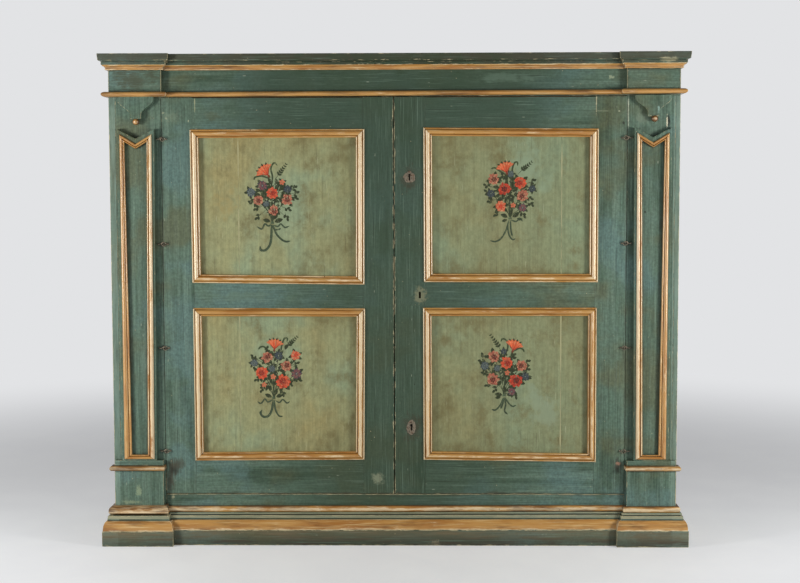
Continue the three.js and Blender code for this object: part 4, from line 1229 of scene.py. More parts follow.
for side, word in both_sides:
    low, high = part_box(f"{word}_drop")
    middle_x = (low.x + high.x) / 2
    name = f"{word}_drop_tongue"
    add_piece(name, tongue_mesh(name, middle_x, low, high, drop_falls[word]), "case", frame_coat, [f"{word}_drop"])
    name = f"{word}_drop_ball"
    aside, lower = ball_hangs[word]
    centre = Vector((middle_x + aside, face_y - ball_radius - 0.002, low.z + ball_radius + lower))
    add_piece(name, ball_mesh(name, centre, ball_radius, ball_rubs_and_sheen[word]), "case", gold_coat)
print("drops hang under", round(string_low.z, 4))

# %% [markdown]
# ## Doors
# Each door is a frame of two stiles and three rails, with two panels let into grooves. The rails are set
# back from the stiles by the thickness of the paint, which draws faint joint lines. The right meeting stile
# has the keyholes cut through it.

# %% Keyholes
upper_key = Vector((0.062, face_y, 1.4795))
lower_key = Vector((0.068, face_y, 0.48))
plain_slot = Vector((0.1025, face_y, 1.003))
bow_radius, slot_width, slot_drop = 0.005, 0.006, 0.022
plain_width, plain_rise = 0.008, 0.026


def keyhole_outline(centre, grow=0.0):
    """A round bow over a straight slot, as x and z places."""
    half, radius = slot_width / 2 + grow, bow_radius + grow
    start = asin(half / radius)
    points = []
    for i in range(15):
        turn = -pi / 2 + start + (2 * pi - 2 * start) * i / 14
        points.append((centre.x + radius * cos(turn), centre.z + radius * sin(turn)))
    foot = centre.z - slot_drop - grow
    return points + [(centre.x - half, foot), (centre.x + half, foot)]


def prism(work, outline, axis, start, end):
    """A closed bar with one outline, given across it, between two places along an axis."""
    ends = []
    for place in (start, end):
        ring = [[a, b] for a, b in outline]
        for point in ring:
            point.insert(axis, place)
        ends.append([work.verts.new(point) for point in ring])
    skin(work, ends)
    work.faces.new(ends[0][::-1])
    work.faces.new(ends[1])
    face_out(work)


def cutter(outline, y0, y1):
    """A closed prism for cutting a hole through a board."""
    work = bmesh.new()
    prism(work, outline, 1, y0, y1)
    tool = bpy.data.objects.new("cutter", finished_mesh("cutter", work))
    into_scene(tool)
    return tool


def cut_through(mesh, outlines, y0, y1):
    """The mesh with each outline cut through it."""
    holder = bpy.data.objects.new("holder", mesh)
    into_scene(holder)
    tools = [cutter(outline, y0, y1) for outline in outlines]
    for tool in tools:
        change = holder.modifiers.new("hole", "BOOLEAN")
        change.object = tool
        change.solver = "EXACT"
    graph = bpy.context.evaluated_depsgraph_get()
    result = bpy.data.meshes.new_from_object(holder.evaluated_get(graph))
    for helper in (holder, *tools):
        bpy.data.objects.remove(helper)
    return result


# %% Door frames
rail_setback, top_rail_drop, hinge_ease = 0.0005, 0.0025, 0.0009
door_back_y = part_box("left_door_meeting_stile")[1].y


def door_rail(word, place, inner_x, outer_x):
    low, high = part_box(f"{word}_door_{place}_rail")
    xs = sorted((inner_x, outer_x))
    top = high.z - (top_rail_drop if place == "top" else 0)
    rail = board(f"{word}_{place}_rail", (xs[0], face_y + rail_setback, low.z), (xs[1], door_back_y, top), 0,
        f"{word}_door", one_side_coat, [f"{word}_door_{place}_rail"], bare=towards_back, round_off=0.0007,
        wave=0.00015)
    for x in xs:
        calm_near(rail, 0, x, 0.02)
    if place == "top":
        calm_near(rail, 2, top, 0.012, 0.8)


def meeting_stile(word):
    low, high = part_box(f"{word}_door_meeting_stile")
    name = f"{word}_meeting_stile"
    mesh = board_mesh(name, low, high, 2, bare=towards_back)
    if word == "right":
        half, rise = plain_width / 2, plain_rise / 2
        slot = [(plain_slot.x + a * half, plain_slot.z + b * rise) for a, b in ((-1, -1), (1, -1), (1, 1), (-1, 1))]
        holes = [keyhole_outline(upper_key), keyhole_outline(lower_key), slot]
        mesh = cut_through(mesh, holes, face_y - 0.01, door_back_y + 0.01)
    piece = add_piece(name, mesh, f"{word}_door", one_side_coat, [f"{word}_door_meeting_stile"])
    rub_near(piece, 0, high.x if word == "left" else low.x, 0.006, 1.0, deep=0.012)
    calm_near(piece, 0, low.x if word == "left" else high.x, 0.02)
    return low, high

for side, word in both_sides:
    meeting = meeting_stile(word)
    low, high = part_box(f"{word}_door_hinge_stile")
    low.x, high.x = low.x - hinge_ease * (side < 0), high.x + hinge_ease * (side > 0)
    stile = board(f"{word}_hinge_stile", low, high, 2, f"{word}_door", one_side_coat, [f"{word}_door_hinge_stile"],
        bare=towards_back)
    calm_near(stile, 0, low.x if side > 0 else high.x, 0.02)
    calm_near(stile, 0, high.x if side > 0 else low.x, 0.02, 0.5)
    panel_inner = meeting[1].x if side > 0 else meeting[0].x
    panel_outer = low.x if side > 0 else high.x
    for place in ("bottom", "middle", "top"):
        door_rail(word, place, panel_inner, panel_outer)
print("door frames made; rails stand", rail_setback, "m back")

# %% [markdown]
# ## Panels
# Each panel is two boards glued edge to edge, and the joint shows as a fine upright line nearer the hinges,
# pale where the ground has lifted. The paint is darker and browner towards the moulding, so the boards carry
# a darkening value that is high at the edges of the whole panel and not at their own joint.

# %% Panels
panel_joint_share, panel_darkening_reach, joint_wear = 0.272, 0.06, 0.0028


def panel_boards(word, place, side):
    low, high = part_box(f"{word}_door_{place}_panel")
    share = panel_joint_share if side < 0 else 1 - panel_joint_share * 0.754
    joint = low.x + (high.x - low.x) * share
    for i, (x0, x1) in enumerate(((low.x, joint - joint_gap / 2), (joint + joint_gap / 2, high.x))):
        name = f"{word}_{place}_panel_{i + 1}"
        mesh = board_mesh(name, (x0, low.y, low.z), (x1, high.y, high.z), 2, round_off=0.0004, wave=0.0002,
            bare=towards_back)
        places = points_of(mesh)
        gap = np.minimum(places - np.array(low), np.array(high) - places)[:, [0, 2]].min(axis=1) - 0.044
        for value in ("grime", "worn"):
            mesh.attributes.remove(mesh.attributes[value])
        carry(mesh, "grime", fade(gap, panel_darkening_reach))
        carry(mesh, "worn", fade(abs(places[:, 0] - joint), joint_wear))
        add_piece(name, mesh, f"{word}_door", panel_coat, [f"{word}_door_{place}_panel"] if i == 0 else ())

for side, word in both_sides:
    for place in ("lower", "upper"):
        panel_boards(word, place, side)

# %% [markdown]
# ## Panel mouldings
# A broad gilt round between two small beads runs round every panel, in four mitred sticks. Its two quirks
# hold most of the dirt, and they draw the dark lines that make it look carved; the uprights keep more of it
# than the level sticks, so their dark lines are partly painted shade of the side lamps. The uprights are also
# painted paler, a painted highlight over their wear, and the top stick darker, as painted shade. The frames
# were nailed on by eye: none is quite square, and each corner stands a few millimetres off. The part that
# is let into the door stays where the door's own opening is.

# %% Panel moulding section and frames
bead_width, mould_proud, bead_proud, quirk_out = 0.007, 0.0138, 0.007, 0.003
mould_width, mould_lap = 0.034, 0.0083
out_of_true_mm = {"left_upper": ((1, 4), (-2, -4), (0, -2), (-3, -2)), "left_lower": ((4, 0), (-5, 4), (0, 2),
    (2, 4)), "right_upper": ((3, 6), (4, 4), (3, -3), (1, 3)), "right_lower": ((1, 4), (1, -5), (0, 4), (-1, 4))}
# How far each stick, bottom, right, top and left, is painted paler: the uprights most, a painted highlight from the
# side lamps over their wear, and the top stick least, as painted shade.
frame_rubs_and_sheen = {"left_upper": (0.1, 1.7, -0.3, 1.7), "left_lower": (0.0, 1.4, -0.3, 1.4),
    "right_upper": (0.0, 1.2, -0.3, 1.4), "right_lower": (0.1, 0.1, -0.3, 1.1)}

inner_bead = mould_width - bead_width
mould_rows = half_round(0.0, bead_width, 0.0005, bead_proud, 6)
mould_rows[:4] = [(along, out, 0.9, grime * 0.3) for along, out, _, grime in mould_rows[:4]]
mould_rows += half_round(bead_width + 0.0006, inner_bead - 0.0006, quirk_out, mould_proud, 14)
mould_rows += half_round(inner_bead, mould_width, 0.0005, bead_proud, 6)


def panel_moulding(word, place):
    node = f"{word}_door_{place}_moulding"
    low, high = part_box(node)
    front = with_across(mould_rows)
    sunk = face_y - high.y
    back = [(mould_width, sunk, 0, 1, 0.1), (mould_lap, sunk, 0, 1, 0.11), (mould_lap, 0.0, 0, 1, 0.12)]
    corners = ((low.x, low.z, 1, 1), (high.x, low.z, -1, 1), (high.x, high.z, -1, -1), (low.x, high.z, 1, -1))
    rings = []
    for (x, z, turn_x, turn_z), (off_x, off_z) in zip(corners, out_of_true_mm[f"{word}_{place}"]):
        ring = []
        for i, row in enumerate(front + back):
            off = 0 if i > len(front) else 0.001
            ring.append((x + turn_x * row[0] + off_x * off, face_y - row[1], z + turn_z * row[0] + off_z * off))
        rings.append(ring)
    name = f"{word}_{place}_panel_gilt"
    # The uprights keep more quirk grime than the level sticks: partly painted shade of the side lamps.
    mesh = run_of_sticks(name, rings, front + back, closed=True, rubs_and_sheen=frame_rubs_and_sheen[f"{word}_{place}"],
        dirts=(0.1, 0.6, 0.4, 0.6))
    return add_piece(name, mesh, f"{word}_door", gold_coat, [node])

gilt_frames = [panel_moulding(word, place) for word in ("left", "right") for place in ("lower", "upper")]
print("gilt frames:", [piece.name for piece in gilt_frames])

# %% [markdown]
# ## Iron: hinges
# The doors hang on pairs of wire eyes, the oldest and simplest hinge. A wire is bent to a ring, its two
# ends are driven through the wood, and two such rings are linked, one in the case and one in the door. So
# each eye is one long wire: in by one leg, round, and out by the other, with a small hammered washer where
# it enters the wood.

# %% Wires and studs
def turned_frames(path):
    """For each point of a path, two directions across it that don't twist along the way."""
    side, frames = None, []
    for i, point in enumerate(path):
        ahead = (path[min(i + 1, len(path) - 1)] - path[max(i - 1, 0)]).normalized()
        if side is None:
            side = ahead.orthogonal()
        side = (side - ahead * side.dot(ahead)).normalized()
        frames.append((side, ahead.cross(side)))
    return frames


def add_wire(work, path, radii, sides=10, dents=0.1, chance=None):
    """A closed round wire along a path, with small dents where it was hammered."""
    rings = []
    for point, radius, (across, over) in zip(path, radii, turned_frames(path)):
        ring = []
        for turn in turns(sides):
            dent = 1 - (dents * chance.random() if chance else 0)
            ring.append(work.verts.new(point + (across * cos(turn) + over * sin(turn)) * radius * dent))
        rings.append(ring)
    skin(work, rings, True)
    work.faces.new(rings[0])
    work.faces.new(rings[-1][::-1])


def add_stud(work, centre, facing, radius, rise, chance, corners=7):
    """A low hammered head on a surface. facing is -1 towards the front and 1 towards the back."""
    rings = []
    for share, out in ((0.92, -0.0004), (1.0, rise * 0.25), (0.62, rise * 0.8), (0.2, rise)):
        ring = []
        for turn in turns(corners):
            reach = radius * share * chance.uniform(0.86, 1.0)
            ring.append(work.verts.new(centre + Vector((cos(turn) * reach, facing * out, sin(turn) * reach))))
        rings.append(ring)
    skin(work, rings)
    work.faces.new(rings[0])
    work.faces.new(rings[-1])


def iron_piece(name, work, body, stands_for=()):
    """Turns the faces of a piece of iron outwards and puts it in its place."""
    face_out(work)
    return add_piece(name, finished_mesh(name, work), body, iron_coat, stands_for)


# %% Hinge eyes
ring_radius, ring_inset, leg_wire = 0.0053, 0.0024, 0.00125
eye_reach, eye_bend, eye_stand, leg_in_wood = 0.019, 0.006, 0.0091, 0.006
washer_radius, washer_rise = 0.004, 0.0012
case_ring, door_ring, seen_wire, link_lap, flat_lean, upright_lean = 0.007, 0.0082, 0.00165, 0.003, 0.6, 0.25


def eye_path(upright):
    """The wire's middle line, as (along, in, up) from the hinge line, and its radius at each point."""
    seen_ring = door_ring if upright else case_ring
    opening = asin(leg_wire / seen_ring)
    middle = seen_ring - link_lap if upright else 0.0
    lean = upright_lean if upright else pi / 2 - flat_lean
    legs = []
    for way in (1, -1):
        shift, lift = (0.0, way * leg_wire) if upright else (way * leg_wire, 0.0)
        turns = [pi / 2 * i / 5 for i in range(6)]
        bend = [(eye_reach - eye_bend + (eye_bend + shift) * cos(t), eye_bend - (eye_bend + shift) * sin(t),
            lift) for t in turns]
        legs.append([(eye_reach + shift, eye_stand + leg_in_wood, lift)] + bend)
    ring = []
    for i in range(25):
        turn = opening + (2 * pi - 2 * opening) * i / 24
        flat = seen_ring * sin(turn)
        ring.append((middle + seen_ring * cos(turn), -flat * sin(lean), flat * cos(lean)))
    swell = [leg_wire + (seen_wire - leg_wire) * min(1.0, 5 * min(i, 24 - i) / 24) for i in range(25)]
    path = legs[0] + ring + legs[1][::-1]
    return path, [leg_wire] * len(legs[0]) + swell + [leg_wire] * len(legs[1])


def hinge_eye(name, node, body, out_way, upright):
    """One eye, whose legs go out_way along the front, with its washer."""
    low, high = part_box(node)
    reach = ring_inset if upright else ring_radius + ring_inset
    line_x = high.x - reach if out_way < 0 else low.x + reach
    line = Vector((line_x, face_y - eye_stand, (low.z + high.z) / 2))
    chance, work = random.Random(name), bmesh.new()
    path, radii = eye_path(upright)
    places = [line + Vector((out_way * along, inward, up)) for along, inward, up in path]
    add_wire(work, places, radii, dents=0.12, chance=chance)
    foot = Vector((line.x + out_way * eye_reach, face_y, line.z))
    add_stud(work, foot, -1, washer_radius, washer_rise, chance, corners=6)
    return iron_piece(name, work, body, [node])

for side, word in both_sides:
    for i in (1, 2, 3, 4):
        hinge_eye(f"{word}_case_wire_{i}", f"{word}_case_eye_{i}", "case", side, False)
        hinge_eye(f"{word}_door_wire_{i}", f"{word}_door_eye_{i}", f"{word}_door", -side, True)
print("hinge eyes stand", eye_stand, "m off the front")

# %% [markdown]
# ## Iron: escutcheons, locks and bolts
# Each keyhole has a thin hammered plate, a little larger and more ragged than anyone would cut today.
# Behind the right door are the two lock cases with their sliding bolts, and behind the left door a bolt at
# the top and one at the foot, each held by two straps. The cases and bolts have to slide, so they keep the
# frame's exact shape and only have their edges eased.

# %% Keyhole plates
plate_thin, plate_dome, plate_points = 0.0008, 0.0026, 40
upper_reach = (21, 22, 20, 24, 21, 23, 25, 22, 24, 21, 23, 25)
lower_reach = (17, 19, 24, 30, 22, 18, 19, 22, 27, 33, 26, 18)


def inside_keyhole(x, z):
    return hypot(x, z) < bow_radius or (abs(x) < slot_width / 2 and -slot_drop < z < 0)


def keyhole_reach(turn, drop):
    """How far it is from a place in the slot to the edge of the keyhole, in one direction."""
    reach = 0.0
    while inside_keyhole(reach * cos(turn), reach * sin(turn) - drop):
        reach += 0.0001
    return reach


def round_table(table, share):
    """A closed table read smoothly at a share of its round."""
    place = share * len(table)
    i, part = int(place), place % 1
    part = part * part * (3 - 2 * part)
    return table[i % len(table)] * (1 - part) + table[(i + 1) % len(table)] * part


def keyhole_plate(name, key, table, drop=0.008):
    chance, work = random.Random(name), bmesh.new()
    outer = [round_table(table, i / plate_points) / 1000 * chance.uniform(0.97, 1.03) for i in range(plate_points)]
    hole = [keyhole_reach(turn, drop) for turn in turns(plate_points)]
    sections = [(1.0, 0.0005), (1.0, -plate_thin), (0.9, -plate_thin * 1.5), (0.45, -plate_dome * 0.8),
        (0.12, -plate_dome), (0.0, -plate_dome * 0.95), (0.0, 0.0005)]
    rings = []
    for share, y in sections:
        ring = []
        for turn, near, far in zip(turns(plate_points), hole, outer):
            reach = near + (far - near) * share
            dent = chance.uniform(-0.0002, 0.0001) if 0 < share < 1 else 0
            ring.append(work.verts.new((key.x + reach * cos(turn), face_y + y + dent,
                key.z - drop + reach * sin(turn))))
        rings.append(ring)
    skin(work, rings + rings[:1])
    for share in (0.09, 0.37, 0.6, 0.88):
        reach, turn = round_table(table, share) / 1000 * 0.82, full_turn * share
        place = Vector((key.x + reach * cos(turn), face_y - plate_thin * 1.6, key.z - drop + reach * sin(turn)))
        add_stud(work, place, -1, 0.0019, 0.0011, chance)
    return iron_piece(name, work, "right_door")

keyhole_plate("upper_escutcheon", upper_key, upper_reach)
keyhole_plate("lower_escutcheon", lower_key, lower_reach)

# %% Lock cases and bolts, with eased edges
def ease_edges(node, width):
    """Eases the edges of a part that keeps its exact shape, and gives it the iron finish."""
    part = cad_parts[node]
    part.data.materials.clear()
    part.data.materials.append(iron_finish)
    ease = part.modifiers.new("eased_edges", "BEVEL")
    ease.width, ease.segments, ease.limit_method = width, 2, "ANGLE"
    return part

for node in ("upper_lock_case", "lower_lock_case", "upper_lock_bolt", "lower_lock_bolt"):
    ease_edges(node, 0.0007)
for node in ("top_door_bolt", "bottom_door_bolt"):
    ease_edges(node, 0.0006)

# %% Lock covers, keepers and bolt straps
strap_thick, strap_width, strap_foot = 0.0016, 0.012, 0.011
strap_half, strap_stud_out, bar_thick, slide_room = 0.0076, 0.0138, 0.0063, 0.0007
cover_thick, stud_radius, stud_rise = 0.0012, 0.0032, 0.0016


def strap_outline(half, base, over, thick=strap_thick, foot=strap_foot):
    """Section of a strap over a bar: foot, up, over, down, foot, as (across, out) pairs."""
    outer = [(-half - foot, base), (-half - foot, base + thick), (-half - thick, base + thick),
        (-half - thick, over + thick), (half + thick, over + thick), (half + thick, base + thick),
        (half + foot, base + thick), (half + foot, base)]
    return outer + [(half, base), (half, over), (-half, over), (-half, base)]


def studded(name, body, outline, axis, start, end, studs, stud_size):
    """A plate or strap with eased edges, and the studs that hold it to the back of a door."""
    work, chance = bmesh.new(), random.Random(name)
    prism(work, outline, axis, start, end)
    bmesh.ops.bevel(work, geom=work.edges[:], offset=0.0003, segments=1, affect="EDGES")
    for place in studs:
        add_stud(work, Vector(place), 1, *stud_size, chance)
    return iron_piece(name, work, body)

for word in ("top", "bottom"):
    low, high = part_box(f"{word}_door_bolt")
    middle, bar_back = (low.x + high.x) / 2, door_back_y + bar_thick
    outline = [(middle + a, b) for a, b in strap_outline(strap_half, door_back_y, bar_back + slide_room)]
    for i, share in enumerate((0.2, 0.8)):
        z = low.z + (high.z - low.z) * share
        studs = [(middle + way * strap_stud_out, door_back_y + strap_thick, z) for way in (-1, 1)]
        studded(f"{word}_bolt_strap_{i + 1}", "left_door", outline, 2, z - strap_width / 2, z + strap_width / 2,
            studs, (0.0026, 0.0014))

for word in ("upper", "lower"):
    low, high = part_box(f"{word}_lock_case")
    outline = [(low.x - 0.004, low.z - 0.004), (high.x + 0.005, low.z - 0.003), (high.x + 0.004, high.z + 0.004),
        (low.x - 0.004, high.z + 0.005)]
    studs = [(x, high.y + cover_thick, z) for x in (low.x + 0.006, high.x - 0.006) for z in (low.z + 0.006,
        high.z - 0.006)]
    studded(f"{word}_lock_cover", "right_door", outline, 1, high.y + 0.0001, high.y + cover_thick, studs,
        (stud_radius, stud_rise))
    bolt_low, bolt_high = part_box(f"{word}_lock_bolt")
    middle, half = (bolt_low.z + bolt_high.z) / 2, (bolt_high.z - bolt_low.z) / 2 + 0.0012
    outline = [(b, middle + a) for a, b in strap_outline(half, door_back_y, bolt_high.y + 0.0012)]
    studs = [(-0.009, door_back_y + strap_thick, middle + way * (half + 0.007)) for way in (-1, 1)]
    studded(f"{word}_bolt_keeper", "left_door", outline, 0, -0.0145, -0.0035, studs, (0.0022, 0.0012))
print("bolts and locks dressed")

# %% Holes that the door bolts slide into
def cut_box(piece, low, high):
    """Cuts a box out of a piece that is already in place."""
    outline = [(low[0], low[2]), (high[0], low[2]), (high[0], high[2]), (low[0], high[2])]
    old, name = piece.data, piece.data.name
    piece.data = cut_through(old.copy(), [outline], low[1], high[1])
    bpy.data.meshes.remove(old)
    piece.data.name = name

bolt_low, bolt_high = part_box("top_door_bolt")
hole_y = (frame_back_y - 0.01, door_back_y + 0.0073)
for piece, z0, z1 in ((stop_batten, opening_top - 0.02, opening_top + 0.002), (floor_plank, 0.18, 0.22)):
    cut_box(piece, (bolt_low.x - 0.001, hole_y[0], z0), (bolt_high.x + 0.001, hole_y[1], z1))

# %% Nails and a peg on the front
front_nails = [(-1.083, 0.3095), (1.0625, 0.3112), (-0.96, 0.3095), (-0.3, 0.1425), (0.42, 0.1425)]


def front_studs(name, places, y, radius, rise):
    work, chance = bmesh.new(), random.Random(name)
    for x, z in places:
        add_stud(work, Vector((x, y, z)), -1, radius, rise, chance)
    return iron_piece(name, work, "case")

front_studs("pedestal_nails", front_nails[:3], face_y - pedestal_proud - torus_proud + 0.0008, 0.0026, 0.001)
front_studs("base_nails", front_nails[3:], face_y - block_inset - 0.0095, 0.0024, 0.001)


# %% [markdown]
# ## Flower bunches
# In the middle of each panel is a loose bunch in the manner of painted country furniture: a lily and a
# curling tendril on top, four or five roses, some blue flowers, many dark leaves, and a tied ribbon. Such
# flowers are strokes of a loaded brush, each started and lifted once, so that is how they are made here.
# Every stroke is a thin closed sliver of paint that lies a hair above the last, with the colours of the
# brush on its points. The arrangements are made up for this cupboard.

# %% One brush stroke
paint_foot, first_layer, layer_step = 0.0005, 0.00005, 0.0000006
sample_pitch = 3.0


def through(points, count):
    """A smooth line through a few points, sampled evenly by point."""
    if len(points) == 2:
        points = [points[0], ((points[0][0] + points[1][0]) / 2, (points[0][1] + points[1][1]) / 2), points[1]]
    ends = [(2 * points[0][0] - points[1][0], 2 * points[0][1] - points[1][1])]
    tail = [(2 * points[-1][0] - points[-2][0], 2 * points[-1][1] - points[-2][1])]
    control, line = ends + list(points) + tail, []
    for i in range(count + 1):
        place = (len(points) - 1) * i / count
        k = min(int(place), len(points) - 2)
        u = place - k
        weights = ((-u + 2 * u * u - u ** 3) / 2, (2 - 5 * u * u + 3 * u ** 3) / 2,
            (u + 4 * u * u - 3 * u ** 3) / 2, (u ** 3 - u * u) / 2)
        line.append(tuple(sum(w * control[k + j][axis] for j, w in enumerate(weights)) for axis in (0, 1)))
    return line


def off(x, z, reach, turn):
    """A place at some distance from another, in one direction."""
    return x + reach * cos(turn), z + reach * sin(turn)

shapes = {"petal": lambda t: sin(pi * min(1, t * 0.82 + 0.12)) ** 0.7,
          "leaf": lambda t: sin(pi * (0.04 + 0.95 * t)) ** 0.85,
          "line": lambda t: min(1.0, 0.3 + 6 * t, 0.2 + 6 * (1 - t)),
          "taper": lambda t: min(1.0, 0.5 + 8 * t) * (1.02 - t) ** 0.6,
          "comma": lambda t: sin(pi * min(1, 0.15 + t * 0.85)) ** 0.6 * (1.05 - t) ** 0.5}


def mixed(first, second, share):
    return tuple(a + (b - a) * share for a, b in zip(first, second))


class Brush:
    """Lays strokes around a knot. Places are in millimetres from it, across and up."""

    def __init__(self, name, knot):
        self.name, self.knot, self.chance = name, knot, random.Random(name)
        self.some = self.chance.uniform
        self.places, self.faces, self.colours = [], [], []
        self.height = first_layer

    def stroke(self, points, width, colour, tip=None, shape="line"):
        tip = tip or colour
        length = sum(dist(a, b) for a, b in zip(points, points[1:]))
        count = max(4, min(26, round(length / sample_pitch)))
        line = through(points, count)
        self.height += layer_step
        first = len(self.places)
        shade = self.some(0.9, 1.1)
        for i, (x, z) in enumerate(line):
            (xa, za), (xb, zb) = line[max(i - 1, 0)], line[min(i + 1, count)]
            reach = hypot(xb - xa, zb - za) or 1.0
            across = (-(zb - za) / reach, (xb - xa) / reach)
            share = i / count
            half = max(width * shapes[shape](share) / 2, 0.12) * self.some(0.93, 1.05)
            here = mixed(colour, tip, share)
            for way, front, light in ((1, 0, 1.0), (1, 1, 1.14), (0, 1, 1.0), (-1, 1, 0.84), (-1, 0, 0.84)):
                y = panel_front_y - self.height if front else panel_front_y + paint_foot
                self.places.append((self.knot[0] + (x + across[0] * half * way) / 1000, y,
                    self.knot[1] + (z + across[1] * half * way) / 1000))
                self.colours.append(tuple(min(1.0, c * light * shade) for c in here[:3]) + (1.0,))
        for i in range(count):
            a, b = first + 5 * i, first + 5 * i + 5
            self.faces += [(a + k, a + (k + 1) % 5, b + (k + 1) % 5, b + k) for k in range(5)]
        last = first + 5 * count
        self.faces += [tuple(range(first, first + 5))[::-1], tuple(range(last, last + 5))]

    def around(self, x, z, turn, near, far, width, colour, tip=None, shape="petal", bend=0.0):
        """A stroke that starts near a place and goes out from it."""
        ends = [off(x, z, reach, turn + lean) for reach, lean in ((near, 0), ((near + far) / 2, bend), (far, 0))]
        self.stroke(ends, width, colour, tip, shape)

    def finish(self, body):
        mesh = bpy.data.meshes.new(self.name)
        mesh.from_pydata(self.places, [], self.faces)
        work = bmesh.new()
        work.from_mesh(mesh)
        face_out(work)
        mesh = finished_mesh(self.name, work)
        field = mesh.attributes.new("stroke", "FLOAT_COLOR", "POINT")
        field.data.foreach_set("color", np.asarray(self.colours, np.float32).ravel())
        return add_piece(self.name, mesh, body, bouquet_coat)

panel_front_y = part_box("left_door_lower_panel")[0].y

# %% Flower paint
pot = PaintPot("bouquet_paint")
where = pot.place()
sage_ground(pot, where)
ground, pot.colour = pot.colour, pot.carried("stroke", "Color")
bristle = pot.cloud(where, 420, 3)
pot.shade(bristle, 0.25, 0.75, 0.8, 1.12)
rubbed = pot.cloud(where, (150, 150, 60), 5, 0.7)
pot.lay(ground, rubbed, 0.54, 0.68, 0.85)
pot.cover(smoke_brown, 0.12)
pot.set("Specular IOR Level", 0.3)
bouquet_coat = (pot.dry(pot.step(rubbed, 0.3, 0.7, 0.4, 0.55), bristle, 0.0002), "panel_paint")

# %% The painter's colours
coral, vermilion, deep_red, wine = tone(216, 84, 52), tone(196, 52, 36), tone(136, 30, 28), tone(86, 24, 28)
peach, pink, pale_pink, cream_light = tone(200, 116, 84), tone(162, 78, 68), tone(184, 116, 92), tone(204, 164, 126)
navy, slate, violet, pale_blue = tone(28, 38, 50), tone(64, 80, 90), tone(72, 64, 82), tone(116, 130, 126)
leaf_dark, leaf_green, leaf_light = tone(24, 36, 26), tone(46, 66, 40), tone(84, 100, 62)
stem_green, ribbon_dark, ribbon_light = tone(48, 64, 46), tone(46, 66, 52), tone(84, 104, 78)
orange, lemon = tone(224, 108, 66), tone(206, 186, 108)
rose_colours = {"coral": (vermilion, coral, peach, deep_red), "red": (deep_red, vermilion, coral, wine),
                "pink": (mixed(pink, deep_red, 0.25), pale_pink, cream_light, wine),
                "peach": (coral, peach, cream_light, vermilion)}
blue_colours = {"navy": (navy, slate), "slate": (mixed(navy, slate, 0.5), mixed(slate, pale_blue, 0.5)),
                "violet": (mixed(navy, violet, 0.6), mixed(violet, pink, 0.55))}

# %% Flowers, leaves and ribbons
def rose(brush, x, z, radius, colours):
    """Three rings of cupped petals round a dark heart, then light along their lips."""
    outer, middle, lip, heart = rose_colours[colours]
    first = brush.some(0, 1)
    for i in range(6):
        brush.around(x, z, first + i, 0, radius * 0.86, radius * 0.7, heart, mixed(heart, outer, 0.5))
    for turn in turns(9, first):
        turn += brush.some(-0.2, 0.2)
        far, wide = brush.some(0.86, 1.12), brush.some(0.42, 0.64)
        brush.around(x, z, turn, radius * 0.2, radius * far, radius * wide, outer,
            mixed(outer, middle, brush.some(0.5, 1)), bend=brush.some(-0.2, 0.2))
    for i in range(7):
        turn = brush.some(0, full_turn)
        reach = radius * brush.some(0.74, 0.92)
        ends = [off(x, z, reach, turn + a) for a in (-0.3, 0, 0.3)]
        brush.stroke(ends, radius * 0.12, lip, middle, "leaf")
    for turn in turns(6, first + 0.4):
        brush.around(x, z, turn + brush.some(-0.2, 0.2), radius * 0.1, radius * 0.66, radius * 0.42, heart,
            mixed(middle, lip, brush.some(0, 0.8)))
    for turn in turns(5, first):
        ends = [off(x, z, radius * 0.42, turn + a) for a in (-0.5, 0, 0.5)]
        brush.stroke(ends, radius * 0.12, heart, outer, "comma")
    x, z = (centre + radius * brush.some(-0.22, 0.22) for centre in (x, z))
    for i in range(6):
        brush.around(x, z, first + 1.1 * i, 0, radius * brush.some(0.36, 0.54), radius * 0.34, heart, heart)
    for i in range(4):
        brush.around(x, z, first + 1.7 * i, radius * 0.1, radius * 0.3, radius * 0.09, middle, outer)


def blue_flower(brush, x, z, radius, colours):
    """A daisy of pointed petals in two tones with a pale eye."""
    dark, light = blue_colours[colours]
    for ring, (count, far, width) in enumerate(((9, 1.08, 0.62), (9, 0.96, 0.3), (7, 0.66, 0.26))):
        for i in range(count):
            turn = 2 * pi * (i + 0.5 * (ring == 2)) / count + brush.some(-0.12, 0.12)
            tones = ((dark, dark), (mixed(dark, light, 0.5), light), (dark, light))[ring]
            brush.around(x, z, turn, radius * 0.14, radius * far * brush.some(0.88, 1.06), radius * width, *tones,
                "leaf")
    for turn in turns(5):
        brush.around(x, z, turn, radius * 0.04, radius * 0.2, radius * 0.1, pale_blue, slate)


def small_flower(brush, x, z, radius, petal=peach, eye=lemon):
    for turn in turns(5):
        turn += brush.some(0, 0.3)
        brush.around(x, z, turn, radius * 0.15, radius, radius * 0.7, mixed(petal, vermilion, 0.4), petal)
    brush.around(x, z, 0.5, 0, radius * 0.22, radius * 0.3, deep_red, eye)


def lily(brush, x, z, size, degrees, petal=coral, edge=orange):
    """A trumpet seen from the side: a fan of pointed petals that curl out, with stamens."""
    turn = radians(degrees)
    for lean in (-0.5, -0.15, 0.2, 0.55):
        brush.stroke([(x, z), off(x, z, size * 1.12, turn + lean)], size * 0.34, leaf_green, leaf_dark, "leaf")
    for i, lean in enumerate((-0.95, 0.95, -0.68, 0.68, -0.34, 0.36, 0.0)):
        tip, middle = off(x, z, size, turn + lean), off(x, z, size * 0.55, turn + lean * 0.5)
        brush.stroke([(x, z), middle, tip], size * 0.4, deep_red if i < 2 else petal, edge, "leaf")
        brush.stroke([middle, tip], size * 0.07, cream_light, edge, "leaf")
    for lean in (-0.7, -0.2, 0.25, 0.75):
        brush.stroke([(x, z), off(x, z, size * 1.02, turn + lean)], size * 0.045, deep_red, vermilion, "taper")
    brush.around(x, z, turn + pi, 0, size * 0.3, size * 0.22, deep_red, leaf_green)


